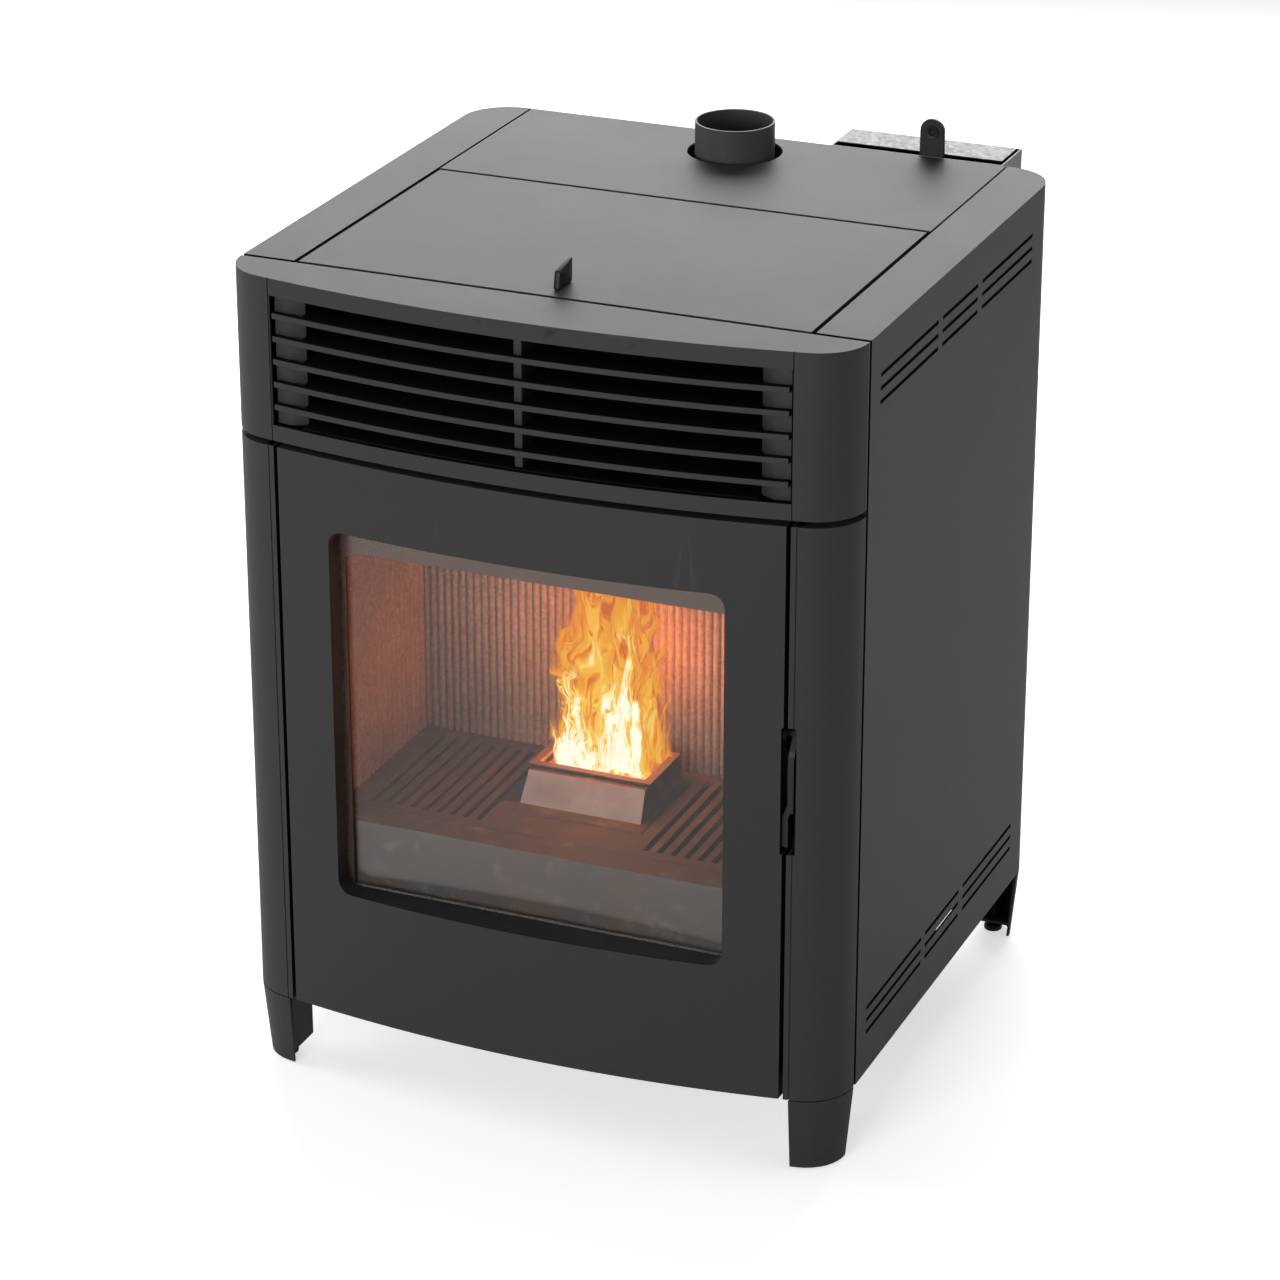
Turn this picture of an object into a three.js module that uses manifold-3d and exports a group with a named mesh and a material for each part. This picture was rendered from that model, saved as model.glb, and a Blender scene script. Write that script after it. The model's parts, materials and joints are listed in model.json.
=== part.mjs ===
// Pellet stove with a bowed front: painted steel casing, glazed fire door, louvred
// warm-air outlet, pellet hopper under a hinged lid, feed screw, burner, fans and legs.
// Millimetres, +Z up, X to the right, Y to the back, origin on the floor under the middle.
import * as THREE from 'three';
import { mergeVertices } from 'three/addons/utils/BufferGeometryUtils.js';
import Module from 'manifold-3d';

const wasm = await Module();
wasm.setup();

// ---- Driving dimensions: casing ----
const bodyWidth = 622;
const bodyDepth = 612;
const bodyHeight = 825;
const legHeight = 78;
const rearReach = 61.5;
const bowRadius = 1447;
const cornerRadius = 48;
const sheet = 2;
const seat = 0.3;

// ---- Driving dimensions: head with the warm-air outlet ----
const headHeight = 159;
const headWall = 4;
const topBandHeight = 16.6;
const bottomBandHeight = 15.6;
const louvreCount = 5;
const louvrePitch = 22.3;
const louvreThickness = 5.8;
const louvreLip = 6.5;
const louvreDepth = 40;
const topLouvreDrop = 16.6;
const ribWidth = 8;
const postWidth = 53;

// ---- Driving dimensions: door ----
const sideGap = 4;
const headGap = 6;
const doorSkin = 2.5;
const windowSide = 55;
const windowBottom = 211.8;
const windowHead = 71.8;
const windowRadius = 14;
const glassRecess = 34.5;
const glassThickness = 4;
const slotBottom = 335;
const slotLength = 128;

// ---- Driving dimensions: top ----
const topPlate = 3;
const lidLength = 308.5;
const lidPlate = 4;
const panelGap = 2.75;
const flueDiameter = 80;
const flueRise = 31.5;
const flueX = -9.7;
const flueFromBack = 55.5;
const flueHoleRadius = 47.6;

// ---- Driving dimensions: fire chamber ----
const chamberSide = 33;
const chamberDepth = 272.5;
const chamberFloor = 275;
const linerThickness = 9.7;
const backLinerThickness = 12;
const plate = 3;
const potRim = 310;
const potHalfWidth = 64;
const potDepth = 77;
const potFromBack = 30.75;

// ---- Driving dimensions: pellet feed ----
const augerFromBack = 110.25;
const augerRise = 195;
const augerTubeRadius = 30;
const augerPitch = 40;
const throatHalfWidth = 25;

// ---- Driving dimensions: air slots in the side panels ----
const slotHeight = 4;
const slotPitch = 13;
const slotColumns = [[103.75, 258.75], [270.75, 370.75], [383.75, 534.75]];

// Places worked out from the sizes above
const halfWidth = bodyWidth / 2;
const frontY = -(bodyDepth + rearReach) / 2;
const backY = frontY + bodyDepth;
const postEdgeX = halfWidth - postWidth;
const headBottom = bodyHeight - headHeight;
const doorHalfWidth = postEdgeX - sideGap;
const doorBottom = legHeight + 1;
const doorTop = headBottom - headGap;
const windowHalfWidth = doorHalfWidth - windowSide;
const windowTop = doorTop - windowHead;
const frameOpeningHalfWidth = windowHalfWidth - 4;
const frameOpeningTop = windowTop - 30.8;
const slotTop = slotBottom + slotLength;
const slotRight = postEdgeX + 8;
const flangeInnerX = postEdgeX + 0.5;
const lidHalfWidth = postEdgeX - sideGap;
const chamberHalfWidth = postEdgeX - chamberSide;
const chamberBackY = frontY + chamberDepth;
const chamberTop = doorTop - 10;
const drawerFrontY = frontY + 49.5;
const drawerHalfWidth = chamberHalfWidth - 10;
const potBackY = chamberBackY - potFromBack;
const potFrontY = potBackY - potDepth;
const augerHighY = chamberBackY + 56.25;
const augerHighZ = chamberFloor + 155;
const augerLowY = backY - augerFromBack;
const augerLowZ = augerHighZ - augerRise;
const upperSlotZ = bodyHeight - 41;
const lowerSlotZ = legHeight + 69;
const cornerX = halfWidth - cornerRadius;
const bowCentreY = frontY + bowRadius;
const bowAngle = Math.asin(cornerX / (bowRadius - cornerRadius));
const frontCornerY = bowCentreY - (bowRadius - cornerRadius) * Math.cos(bowAngle);
const rearCornerY = backY - cornerRadius;
const panelFrontY = frontCornerY + panelGap;
const glassFrontY = frontY + glassRecess;
const glassBackY = glassFrontY + glassThickness;

// ---- Shape helpers ----

// A closed mesh as a solid that can be joined and cut.
function solid(geometry) {
  geometry.deleteAttribute('normal');
  geometry.deleteAttribute('uv');
  const merged = mergeVertices(geometry, 1e-4);
  return new wasm.Manifold(new wasm.Mesh({
    numProp: 3,
    vertProperties: new Float32Array(merged.attributes.position.array),
    triVerts: new Uint32Array(merged.index.array),
  }));
}

// The triangles of a solid as a three.js geometry.
function geometryOf(body) {
  const mesh = body.getMesh();
  const geometry = new THREE.BufferGeometry();
  geometry.setAttribute('position', new THREE.BufferAttribute(mesh.vertProperties, 3));
  geometry.setIndex(new THREE.BufferAttribute(mesh.triVerts, 1));
  geometry.computeVertexNormals();
  return geometry;
}

function join(...bodies) {
  return bodies.reduce((sum, body) => sum.add(body));
}

function cut(body, ...tools) {
  return tools.reduce((rest, tool) => rest.subtract(tool), body);
}

function block(x0, x1, y0, y1, z0, z1) {
  const geometry = new THREE.BoxGeometry(x1 - x0, y1 - y0, z1 - z0);
  geometry.translate((x0 + x1) / 2, (y0 + y1) / 2, (z0 + z1) / 2);
  return solid(geometry);
}

function extruded(points, depth) {
  const shape = new THREE.Shape(points.map(([a, b]) => new THREE.Vector2(a, b)));
  return new THREE.ExtrudeGeometry(shape, { depth, bevelEnabled: false });
}

// An outline in X and Y carried up from z0 to z1.
function prismZ(points, z0, z1) {
  return solid(extruded(points, z1 - z0).translate(0, 0, z0));
}

// An outline in Y and Z carried from x0 to x1.
function prismX(points, x0, x1) {
  const turn = new THREE.Matrix4().makeBasis(
    new THREE.Vector3(0, 1, 0), new THREE.Vector3(0, 0, 1), new THREE.Vector3(1, 0, 0));
  return solid(extruded(points, x1 - x0).applyMatrix4(turn).translate(x0, 0, 0));
}

// An outline in X and Z carried from y0 to y1.
function prismY(points, y0, y1) {
  const turn = new THREE.Matrix4().makeBasis(
    new THREE.Vector3(1, 0, 0), new THREE.Vector3(0, 0, 1), new THREE.Vector3(0, -1, 0));
  return solid(extruded(points, y1 - y0).applyMatrix4(turn).translate(0, y1, 0));
}

function circle(a, b, radius, sides = 24) {
  return arc(a, b, radius, 0, 2 * Math.PI * (1 - 1 / sides), sides - 1);
}

function arc(a, b, radius, from, to, steps) {
  return Array.from({ length: steps + 1 }, (_, i) => {
    const angle = from + (to - from) * i / steps;
    return [a + radius * Math.cos(angle), b + radius * Math.sin(angle)];
  });
}

// A rectangle with round corners, counter-clockwise.
function roundRect(a0, a1, b0, b1, radius, steps = 4) {
  const quarter = Math.PI / 2;
  return [
    ...arc(a1 - radius, b0 + radius, radius, -quarter, 0, steps),
    ...arc(a1 - radius, b1 - radius, radius, 0, quarter, steps),
    ...arc(a0 + radius, b1 - radius, radius, quarter, 2 * quarter, steps),
    ...arc(a0 + radius, b0 + radius, radius, 2 * quarter, 3 * quarter, steps),
  ];
}

// A round bar between two points.
function bar(start, end, radius, sides = 20) {
  const low = new THREE.Vector3(...start);
  const high = new THREE.Vector3(...end);
  const geometry = extruded(circle(0, 0, radius, sides), low.distanceTo(high));
  const direction = high.clone().sub(low).normalize();
  geometry.applyQuaternion(
    new THREE.Quaternion().setFromUnitVectors(new THREE.Vector3(0, 0, 1), direction));
  return solid(geometry.translate(low.x, low.y, low.z));
}

// A funnel between two level rectangles given as [x0, x1, y0, y1].
function funnel(low, zLow, high, zHigh) {
  const corners = ([x0, x1, y0, y1], z) => [x0, y0, z, x1, y0, z, x1, y1, z, x0, y1, z];
  const geometry = new THREE.BufferGeometry();
  const vertices = new Float32Array([...corners(low, zLow), ...corners(high, zHigh)]);
  geometry.setAttribute('position', new THREE.BufferAttribute(vertices, 3));
  geometry.setIndex([0, 2, 1, 0, 3, 2, 4, 5, 6, 4, 6, 7, 0, 1, 5, 0, 5, 4,
    1, 2, 6, 1, 6, 5, 2, 3, 7, 2, 7, 6, 3, 0, 4, 3, 4, 7]);
  return solid(geometry);
}

// The same solid on the other side of a plane through the origin, across X or Y.
function mirrored(body, axis) {
  const geometry = geometryOf(body);
  const index = geometry.index.array;
  for (let i = 0; i < index.length; i += 3) {
    [index[i], index[i + 1]] = [index[i + 1], index[i]];
  }
  return solid(axis === 'x' ? geometry.scale(-1, 1, 1) : geometry.scale(1, -1, 1));
}

function moved(body, x, y, z) {
  return solid(geometryOf(body).translate(x, y, z));
}

// ---- The outline of the casing seen from above ----

function bowY(x, inset = 0) {
  return bowCentreY - Math.sqrt((bowRadius - inset) ** 2 - x * x);
}

// A strip along the bowed front between x0 and x1, from one inset to a deeper one.
function bowStrip(x0, x1, outer, inner, steps = 16) {
  const along = (inset) => Array.from({ length: steps + 1 }, (_, i) => {
    const x = x0 + (x1 - x0) * i / steps;
    return [x, bowY(x, inset)];
  });
  return [...along(outer), ...along(inner).reverse()];
}

// The right front outline from x0 on the bow round the corner to the side.
function cornerLine(x0, inset) {
  const tangentX = (bowRadius - inset) * Math.sin(bowAngle);
  const bow = [x0, (x0 + tangentX) / 2].map((x) => [x, bowY(x, inset)]);
  const turn = arc(cornerX, frontCornerY, cornerRadius - inset, bowAngle - Math.PI / 2, 0, 8);
  return [...bow, ...turn];
}

function cornerStrip(x0, outer, inner) {
  return [...cornerLine(x0, outer), ...cornerLine(x0, inner).reverse()];
}

// The rear right corner from the side round to the back.
function rearTurn(inset) {
  return arc(cornerX, rearCornerY, cornerRadius - inset, 0, Math.PI / 2, 8);
}

// The whole plan outline, counter-clockwise, moved in by inset.
function planOutline(inset) {
  const mirror = (points) => points.map(([x, y]) => [-x, y]).reverse();
  const front = Array.from({ length: 15 }, (_, i) => {
    const x = (postEdgeX - 28) * (i / 7 - 1);
    return [x, bowY(x, inset)];
  });
  const right = [...cornerLine(postEdgeX, inset), ...rearTurn(inset)];
  return [...front, ...right, ...mirror(right)];
}

// ---- Finishes ----

function finish(color, roughness, metalness) {
  return new THREE.MeshStandardMaterial({ color, roughness, metalness });
}
const paintedSteel = () => finish(0x3f3f40, 0.6, 0.3);
const castIron = () => finish(0x2c2b2a, 0.75, 0.4);
const innerSteel = () => finish(0x777a7d, 0.5, 0.8);
const galvanised = () => finish(0xb5b8ba, 0.45, 0.9);
const vermiculite = () => finish(0xa98a6a, 0.9, 0.0);
const ropeSeal = () => finish(0x33312f, 0.95, 0.0);
const blackPlastic = () => finish(0x17171a, 0.5, 0.0);

const stove = new THREE.Group();

function add(name, material, body) {
  const mesh = new THREE.Mesh(geometryOf(body), material);
  mesh.name = name;
  stove.add(mesh);
}

// ---- Base, legs and levelling feet ----
const baseThickness = 3;
const baseBottom = legHeight + 6;
const baseTop = baseBottom + baseThickness;
const doorRecessY = frontY + 57.75;
const footInset = 18;
const footScrewRadius = 4;
const footDiscRadius = 9.5;
const footDiscHeight = 8;
const footPlateZ = 15;
const legWall = 3;
const legTopGap = 0.8;
const legBottom = 3;
const legTaper = 0.855;
const ventX1 = halfWidth - 15;
const ventX0 = ventX1 - 50;

function basePlate() {
  const whole = prismZ(planOutline(headWall + 1), baseBottom, baseTop);
  const sides = block(-halfWidth, halfWidth, frontY, backY, baseBottom, baseTop)
    .subtract(block(-halfWidth + sheet + seat, halfWidth - sheet - seat,
      frontY - 1, backY + 1, baseBottom - 1, baseTop + 1));
  const doorRecess = block(-postEdgeX - 4, postEdgeX + 4,
    frontY - 1, doorRecessY, baseBottom - 1, baseTop + 1);
  const vents = [-1, 1].flatMap((side) => slotColumns.map(([y0, y1]) => {
    const x = [side * ventX0, side * ventX1].sort((a, b) => a - b);
    return block(x[0], x[1], frontY + y0 + 10, frontY + y1 - 10, baseBottom - 1, baseTop + 1);
  }));
  const panelReturns = [-1, 1].map((side) => {
    const x = [side * (halfWidth - returnWidth - 1), side * halfWidth].sort((a, b) => a - b);
    return block(x[0], x[1], panelFrontY - 1, panelFrontY + sheet + 1, 0, bodyHeight);
  });
  return cut(whole, sides, doorRecess, ...vents, ...panelReturns);
}

// A front right leg: a tapered round shell with a foot plate, a web and a top plate.
function legFrontRight() {
  const top = legHeight - seat;
  const shell = extruded(cornerStrip(cornerX, 0, legWall), top - legBottom);
  shell.translate(0, 0, legBottom);
  const place = shell.attributes.position;
  for (let i = 0; i < place.count; i += 1) {
    const drop = (top - place.getZ(i)) / (top - legBottom);
    const scale = 1 - (1 - legTaper) * drop;
    place.setX(i, cornerX + (place.getX(i) - cornerX) * scale);
    place.setY(i, frontCornerY + (place.getY(i) - frontCornerY) * scale);
  }
  const fan = (radius) => [[cornerX, frontCornerY],
    ...arc(cornerX, frontCornerY, radius, -Math.PI / 2, 0, 8)];
  const lowRadius = (cornerRadius - legWall / 2) * (legTaper + 0.03);
  const footPlate = prismZ(fan(lowRadius), footPlateZ, footPlateZ + plate);
  const topPlateHere = prismZ(fan(cornerRadius - headWall - 1), baseBottom - plate - seat,
    baseBottom - seat);
  const webLow = frontCornerY - lowRadius;
  const webHigh = frontCornerY - cornerRadius + headWall + 1;
  const web = prismX([[webLow, footPlateZ], [frontCornerY, footPlateZ],
    [frontCornerY, baseBottom - seat], [webHigh, baseBottom - seat]], cornerX, cornerX + plate);
  const screwHole = prismZ(circle(cornerX + footInset, frontCornerY - footInset,
    footScrewRadius + seat, 16), footPlateZ - 1, footPlateZ + plate + 1);
  return cut(join(solid(shell), footPlate, topPlateHere, web), screwHole);
}

function levellingFoot(x, y) {
  const disc = prismZ(circle(x, y, footDiscRadius, 24), 0, footDiscHeight);
  const screw = prismZ(circle(x, y, footScrewRadius, 12), footDiscHeight - 1, 42);
  return join(disc, screw);
}

function addLegs() {
  const front = legFrontRight();
  const rear = moved(mirrored(front, 'y'), 0, rearCornerY + frontCornerY, 0);
  const footX = cornerX + footInset;
  const footFrontY = frontCornerY - footInset;
  const footRearY = rearCornerY + footInset;
  add('leg_front_right', paintedSteel(), front);
  add('leg_front_left', paintedSteel(), mirrored(front, 'x'));
  add('leg_rear_right', paintedSteel(), rear);
  add('leg_rear_left', paintedSteel(), mirrored(rear, 'x'));
  add('levelling_foot_front_right', blackPlastic(), levellingFoot(footX, footFrontY));
  add('levelling_foot_front_left', blackPlastic(), levellingFoot(-footX, footFrontY));
  add('levelling_foot_rear_right', blackPlastic(), levellingFoot(footX, footRearY));
  add('levelling_foot_rear_left', blackPlastic(), levellingFoot(-footX, footRearY));
}

// ---- Casing panels ----
const returnWidth = 15;
const rearReturnX = halfWidth - 61;

function sideSlots(z) {
  return slotColumns.flatMap(([y0, y1]) => [0, 1, 2].map((row) => block(
    halfWidth - sheet - 2, halfWidth + 2, frontY + y0, frontY + y1,
    z - row * slotPitch - slotHeight / 2, z - row * slotPitch + slotHeight / 2)));
}

function sidePanelRight() {
  const outer = [[halfWidth - returnWidth, panelFrontY], [halfWidth, panelFrontY],
    ...rearTurn(0), [rearReturnX, backY]];
  const inner = [[rearReturnX, backY - sheet], ...rearTurn(sheet).reverse(),
    [halfWidth - sheet, panelFrontY + sheet], [halfWidth - returnWidth, panelFrontY + sheet]];
  const wall = prismZ([...outer, ...inner], legHeight, bodyHeight);
  const flange = prismZ([[flangeInnerX, panelFrontY], [halfWidth, panelFrontY],
    ...rearTurn(0), [flangeInnerX, backY]], bodyHeight - sheet, bodyHeight);
  const plateRoom = block(rearReturnX - 1, flangeInnerX - 1.5, backY - sheet - 1, backY + 1,
    bodyHeight - topPlate - seat, bodyHeight + 1);
  return cut(join(wall, flange), plateRoom, ...sideSlots(upperSlotZ), ...sideSlots(lowerSlotZ));
}

function cornerPost(hasSlot) {
  const top = doorTop;
  const shell = prismZ(cornerStrip(postEdgeX, 0, legWall), legHeight + legTopGap, top);
  const edge = bowY(postEdgeX, legWall);
  const doorReturn = block(postEdgeX, postEdgeX + legWall, edge - 1, edge + 16,
    legHeight + legTopGap, top);
  const sideReturn = block(halfWidth - returnWidth, halfWidth - 1, frontCornerY - legWall,
    frontCornerY, legHeight + legTopGap, top);
  const inside = (inset) => [...cornerLine(cornerX + 4, inset), [cornerX + 4, frontCornerY]];
  const footTab = prismZ(inside(legWall - 1), baseTop + seat, baseTop + seat + sheet);
  const headTab = prismZ(inside(legWall - 1), top - plate, top);
  const headBoss = block(cornerX + 12, cornerX + 27, frontCornerY - 22, frontCornerY - 8,
    top - 1, headBottom - seat);
  const groove = block(cornerX, cornerX + 1.2, frontY, bowY(cornerX) + 1.2,
    legHeight, top + 1);
  const slots = hasSlot
    ? [block(postEdgeX - 8, slotRight, frontY, edge + 20, slotBottom, slotTop)] : [];
  const screwRoom = block(cornerX, halfWidth, frontY, backY, 0, baseTop);
  const body = join(shell, doorReturn, sideReturn, footTab, headTab, headBoss);
  return cut(body, groove, ...slots, screwRoom.intersect(
    prismZ(inside(headWall - 0.5), legHeight, baseTop)));
}

function rearPanel() {
  const innerY = backY - sheet;
  const bottom = baseTop + seat;
  const top = bodyHeight - topPlate - seat;
  const panel = block(-rearReturnX + 0.5, rearReturnX - 0.5, innerY, backY, bottom, top);
  const vents = [0, 1, 2, 3, 4, 5].map((row) => block(
    40, 210, innerY - 1, backY + 1, 120 + row * slotPitch * 1.4, 125 + row * slotPitch * 1.4));
  const highVents = [0, 1, 2, 3].map((row) => block(
    -220, -70, innerY - 1, backY + 1, bodyHeight - 185 + row * slotPitch * 1.4,
    bodyHeight - 180 + row * slotPitch * 1.4));
  const inlet = block(inletX - inletHalfWidth, inletX + inletHalfWidth, innerY - 1, backY + 1,
    inletZ - inletHalfHeight, inletZ + inletHalfHeight);
  const intake = prismY(circle(intakeX, intakeZ, intakeRadius + seat), innerY - 1, backY + 1);
  return cut(panel, ...vents, ...highVents, inlet, intake);
}

function rearTopPlate() {
  const y0 = lidBackY + lidGap;
  const y1 = backY - sheet - seat;
  const top = block(-lidHalfWidth - 2.5, lidHalfWidth + 2.5, y0, backY, bodyHeight - topPlate,
    bodyHeight);
  const fold = block(-lidHalfWidth + 10, lidHalfWidth - 10, y1 - sheet, y1,
    bodyHeight - 22, bodyHeight - topPlate + 1);
  const hole = prismZ(circle(flueX, flueY, flueHoleRadius, 48), bodyHeight - topPlate - 1,
    bodyHeight + 1);
  return cut(join(top, fold), hole);
}

// ---- Head casting, louvres, rib and outlet duct ----
const lipX = postEdgeX - 3;
const cheekFaceX = postEdgeX - 18;
const cheekInnerX = postEdgeX - 32.5;
const cheekRun = 7;
const ductBackY = frontY + 80.25;
const ductSheet = 1.5;

function headCasting() {
  const fold = (points) => [...points, ...points.map(([x, y]) => [-x, y]).reverse()];
  const mirrorStrip = (z0, z1) => {
    const right = prismZ(cornerStrip(postEdgeX, 0, headWall), z0, z1);
    return join(right, mirrored(right, 'x'));
  };
  const half = [1, 2, 3, 4, 5, 6, 7, 8].map((i) => [postEdgeX * i / 9, bowY(postEdgeX * i / 9)])
    .concat(cornerLine(postEdgeX, 0));
  const crescent = prismZ(fold(half), bodyHeight - headWall, bodyHeight);
  const bandX = postEdgeX + 1;
  const topBand = prismZ(bowStrip(-bandX, bandX, 0, headWall, 20),
    bodyHeight - topBandHeight, bodyHeight - 1);
  const bottomBand = prismZ(bowStrip(-bandX, bandX, 0, headWall, 20),
    headBottom, headBottom + bottomBandHeight);
  const posts = mirrorStrip(headBottom, bodyHeight - 1);
  const sideReturn = block(halfWidth - returnWidth, halfWidth, frontCornerY - headWall,
    frontCornerY, headBottom, bodyHeight - 1);
  const tab = block(halfWidth - returnWidth, halfWidth - 6, frontCornerY - 1,
    panelFrontY - seat, headBottom + 30, bodyHeight - 30);
  const edge = bowY(postEdgeX);
  const groove = block(postEdgeX, postEdgeX + 1.2, frontY, edge + 1.6,
    headBottom - 1, bodyHeight + 1);
  const returns = [sideReturn, tab].flatMap((body) => [body, mirrored(body, 'x')]);
  return cut(join(crescent, topBand, bottomBand, posts, ...returns),
    groove, mirrored(groove, 'x'));
}

function louvre(top) {
  const bottom = top - louvreThickness;
  const lip = prismZ(bowStrip(-lipX, lipX, 0, louvreLip, 20), bottom, top);
  const innerX = cheekInnerX - seat;
  const shelf = prismZ(bowStrip(-innerX, innerX, louvreLip - 1, louvreDepth, 16), bottom, top);
  const notchFront = bowY(0, louvreLip) + 0.4;
  const notch = block(-ribWidth / 2 - 0.4, ribWidth / 2 + 0.4, notchFront, 0,
    bottom - 1, top + 1);
  return cut(join(lip, shelf), notch);
}

function grilleCentreRib() {
  const front = bowY(0, louvreLip) + 0.4 + seat;
  return block(-ribWidth / 2, ribWidth / 2, front, ductBackY - ductSheet - seat,
    headBottom + bottomBandHeight + seat + ductSheet + seat,
    bodyHeight - topBandHeight - seat - ductSheet - seat);
}

// Sheet box behind the louvres: angled cheeks, floor with an air inlet, roof and back.
function outletDuct() {
  const low = headBottom + bottomBandHeight + seat;
  const high = bodyHeight - topBandHeight - seat;
  const cheekY = bowY(cheekFaceX, louvreLip) + seat + 0.2;
  const outerY = bowY(lipX, louvreLip) + seat + 0.2;
  const line = [[lipX, outerY], [cheekFaceX, cheekY], [cheekInnerX, cheekY + cheekRun],
    [cheekInnerX, ductBackY]];
  const back = line.map(([x, y], i) => (i === 0 ? [x, y + ductSheet]
    : i === 1 ? [x + 0.4, y + ductSheet] : [x + ductSheet, y + 0.5]));
  const cheek = prismZ([...line, ...back.reverse()], low, high);
  const rear = block(-cheekInnerX - ductSheet, cheekInnerX + ductSheet,
    ductBackY - ductSheet, ductBackY, low, high);
  const inner = bowStrip(-cheekInnerX - 0.5, cheekInnerX + 0.5, headWall + seat, headWall + 9, 12);
  const deckLine = inner.slice(0, 13).concat([[cheekInnerX + 0.5, ductBackY],
    [-cheekInnerX - 0.5, ductBackY]]);
  const floor = prismZ(deckLine, low, low + ductSheet);
  const roof = prismZ(deckLine, high - ductSheet, high);
  const inlet = block(-200, 200, ductBackY - 32, ductBackY - 6, low - 1, low + ductSheet + 1);
  return cut(join(cheek, mirrored(cheek, 'x'), rear, floor, roof), inlet);
}

// ---- Lid, handle, hinge rod and seal ----
const lidGap = 4.5;
const lidFrontY = frontCornerY + 3;
const lidBackY = lidFrontY + lidLength;
const flueY = backY - flueFromBack;
const lidRim = 12;
const rodRadius = 3;
const rodY = lidBackY - 6.5;
const rodZ = bodyHeight - 8;
const hopperFlangeTop = bodyHeight - 15;
const tabHalfThickness = 3;
const tabLength = 32;
const tabFromFront = 16.75;
const tabHeight = 23;

function hopperLid() {
  const bottom = bodyHeight - lidPlate;
  const top = block(-lidHalfWidth, lidHalfWidth, lidFrontY, lidBackY, bottom, bodyHeight);
  const low = bodyHeight - lidRim;
  const rimX = lidHalfWidth - 4;
  const side = block(rimX - sheet, rimX, lidFrontY + 4, lidBackY - 2, low, bottom + 1);
  const front = block(-rimX, rimX, lidFrontY + 4, lidFrontY + 4 + sheet, low, bottom + 1);
  const rodHole = prismX(circle(rodY, rodZ, rodRadius + 0.4, 16), -halfWidth, halfWidth);
  return cut(join(top, side, mirrored(side, 'x'), front), rodHole);
}

function lidHandle() {
  const y0 = lidFrontY + tabFromFront;
  const y1 = y0 + tabLength;
  const z0 = bodyHeight + seat;
  const line = [[y0, z0], [y1, z0], [y1 - 1, z0 + tabHeight], [y1 - 6, z0 + tabHeight],
    [y0 + 3, z0 + tabHeight - 4], [y0 + 1, z0 + tabHeight - 7]];
  return prismX(line, -tabHalfThickness, tabHalfThickness);
}

function lidSeal() {
  const z0 = hopperFlangeTop + seat;
  const z1 = bodyHeight - lidPlate - seat;
  const outer = roundRect(-sealX, sealX, hopperFrontY + 3, mouthBackY - 3, 12);
  const inner = roundRect(-sealX + 8, sealX - 8, hopperFrontY + 11, mouthBackY - 11, 6);
  return cut(prismZ(outer, z0, z1), prismZ(inner, z0 - 1, z1 + 1));
}

// ---- Hopper and its safety grille ----
const hopperHalfWidth = lidHalfWidth - 26;
const hopperFrontY = frontY + 98.75;
const hopperMidY = frontY + 300.75;
const mouthBackY = lidBackY - 17.7;
const hopperBackY = backY - 155.25;
const hopperMidZ = hopperFlangeTop - 158;
const hopperLowZ = hopperMidZ - 52;
const throatZ = 420;
const throatFrontY = hopperBackY - 54;
const sealX = lidHalfWidth - 13;
const grilleZ = hopperFlangeTop - 70;
const grilleBar = 4;
const grilleOpenings = 8;

function hopperShape(inset) {
  const x = hopperHalfWidth - inset;
  const top = inset ? hopperFlangeTop + 1 : hopperFlangeTop - sheet + 0.5;
  const slope = (hopperMidY - hopperFrontY) / (hopperFlangeTop - sheet - hopperMidZ);
  const step = inset * Math.hypot(1, slope);
  const topY = hopperFrontY + step - slope * (top - hopperFlangeTop + sheet);
  const upper = prismX([[topY, top], [hopperMidY + inset, hopperMidZ + inset * 0.4],
    [hopperMidY + inset, hopperLowZ - 0.5], [hopperBackY - inset, hopperLowZ - 0.5],
    [hopperBackY - inset, hopperFlangeTop - 50],
    [mouthBackY - inset, hopperFlangeTop - 14], [mouthBackY - inset, top]], -x, x);
  const throat = [-throatHalfWidth + inset, throatHalfWidth - inset,
    throatFrontY + inset, hopperBackY - inset];
  const slopeFunnel = funnel(throat, throatZ, [-x, x, hopperMidY + inset, hopperBackY - inset],
    hopperLowZ);
  const neck = block(throat[0], throat[1], throat[2], throat[3], 295, throatZ + 0.5);
  return join(upper, slopeFunnel, neck);
}

function hopper() {
  const flange = block(-halfWidth + sheet + seat, halfWidth - sheet - seat,
    hopperFrontY - 4, lidBackY - 2, hopperFlangeTop - sheet, hopperFlangeTop);
  const earX = hopperHalfWidth + 14;
  const ear = join(block(earX, earX + 3, rodY - 6, rodY + 3, hopperFlangeTop - 1, rodZ),
    prismX(circle(rodY, rodZ, rodRadius + 0.6, 16), earX, earX + 3));
  const rodHole = prismX(circle(rodY, rodZ, rodRadius + seat, 16), -halfWidth, halfWidth);
  const body = join(hopperShape(0), flange);
  const tubeY0 = augerHighY + 28;
  const tubeY1 = augerLowY + 35;
  const tubeLow = augerAxisZ(tubeY1) - 45;
  const belowTube = prismX([[tubeY0, tubeLow], [tubeY1, tubeLow], [tubeY1, augerAxisZ(tubeY1)],
    [tubeY0, augerAxisZ(tubeY0)]], -throatHalfWidth - 1, throatHalfWidth + 1);
  const shell = cut(body, hopperShape(sheet), augerSleeve(augerTubeRadius + seat), belowTube);
  const open = cut(ear, rodHole);
  return join(shell, open, mirrored(open, 'x'));
}

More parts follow.
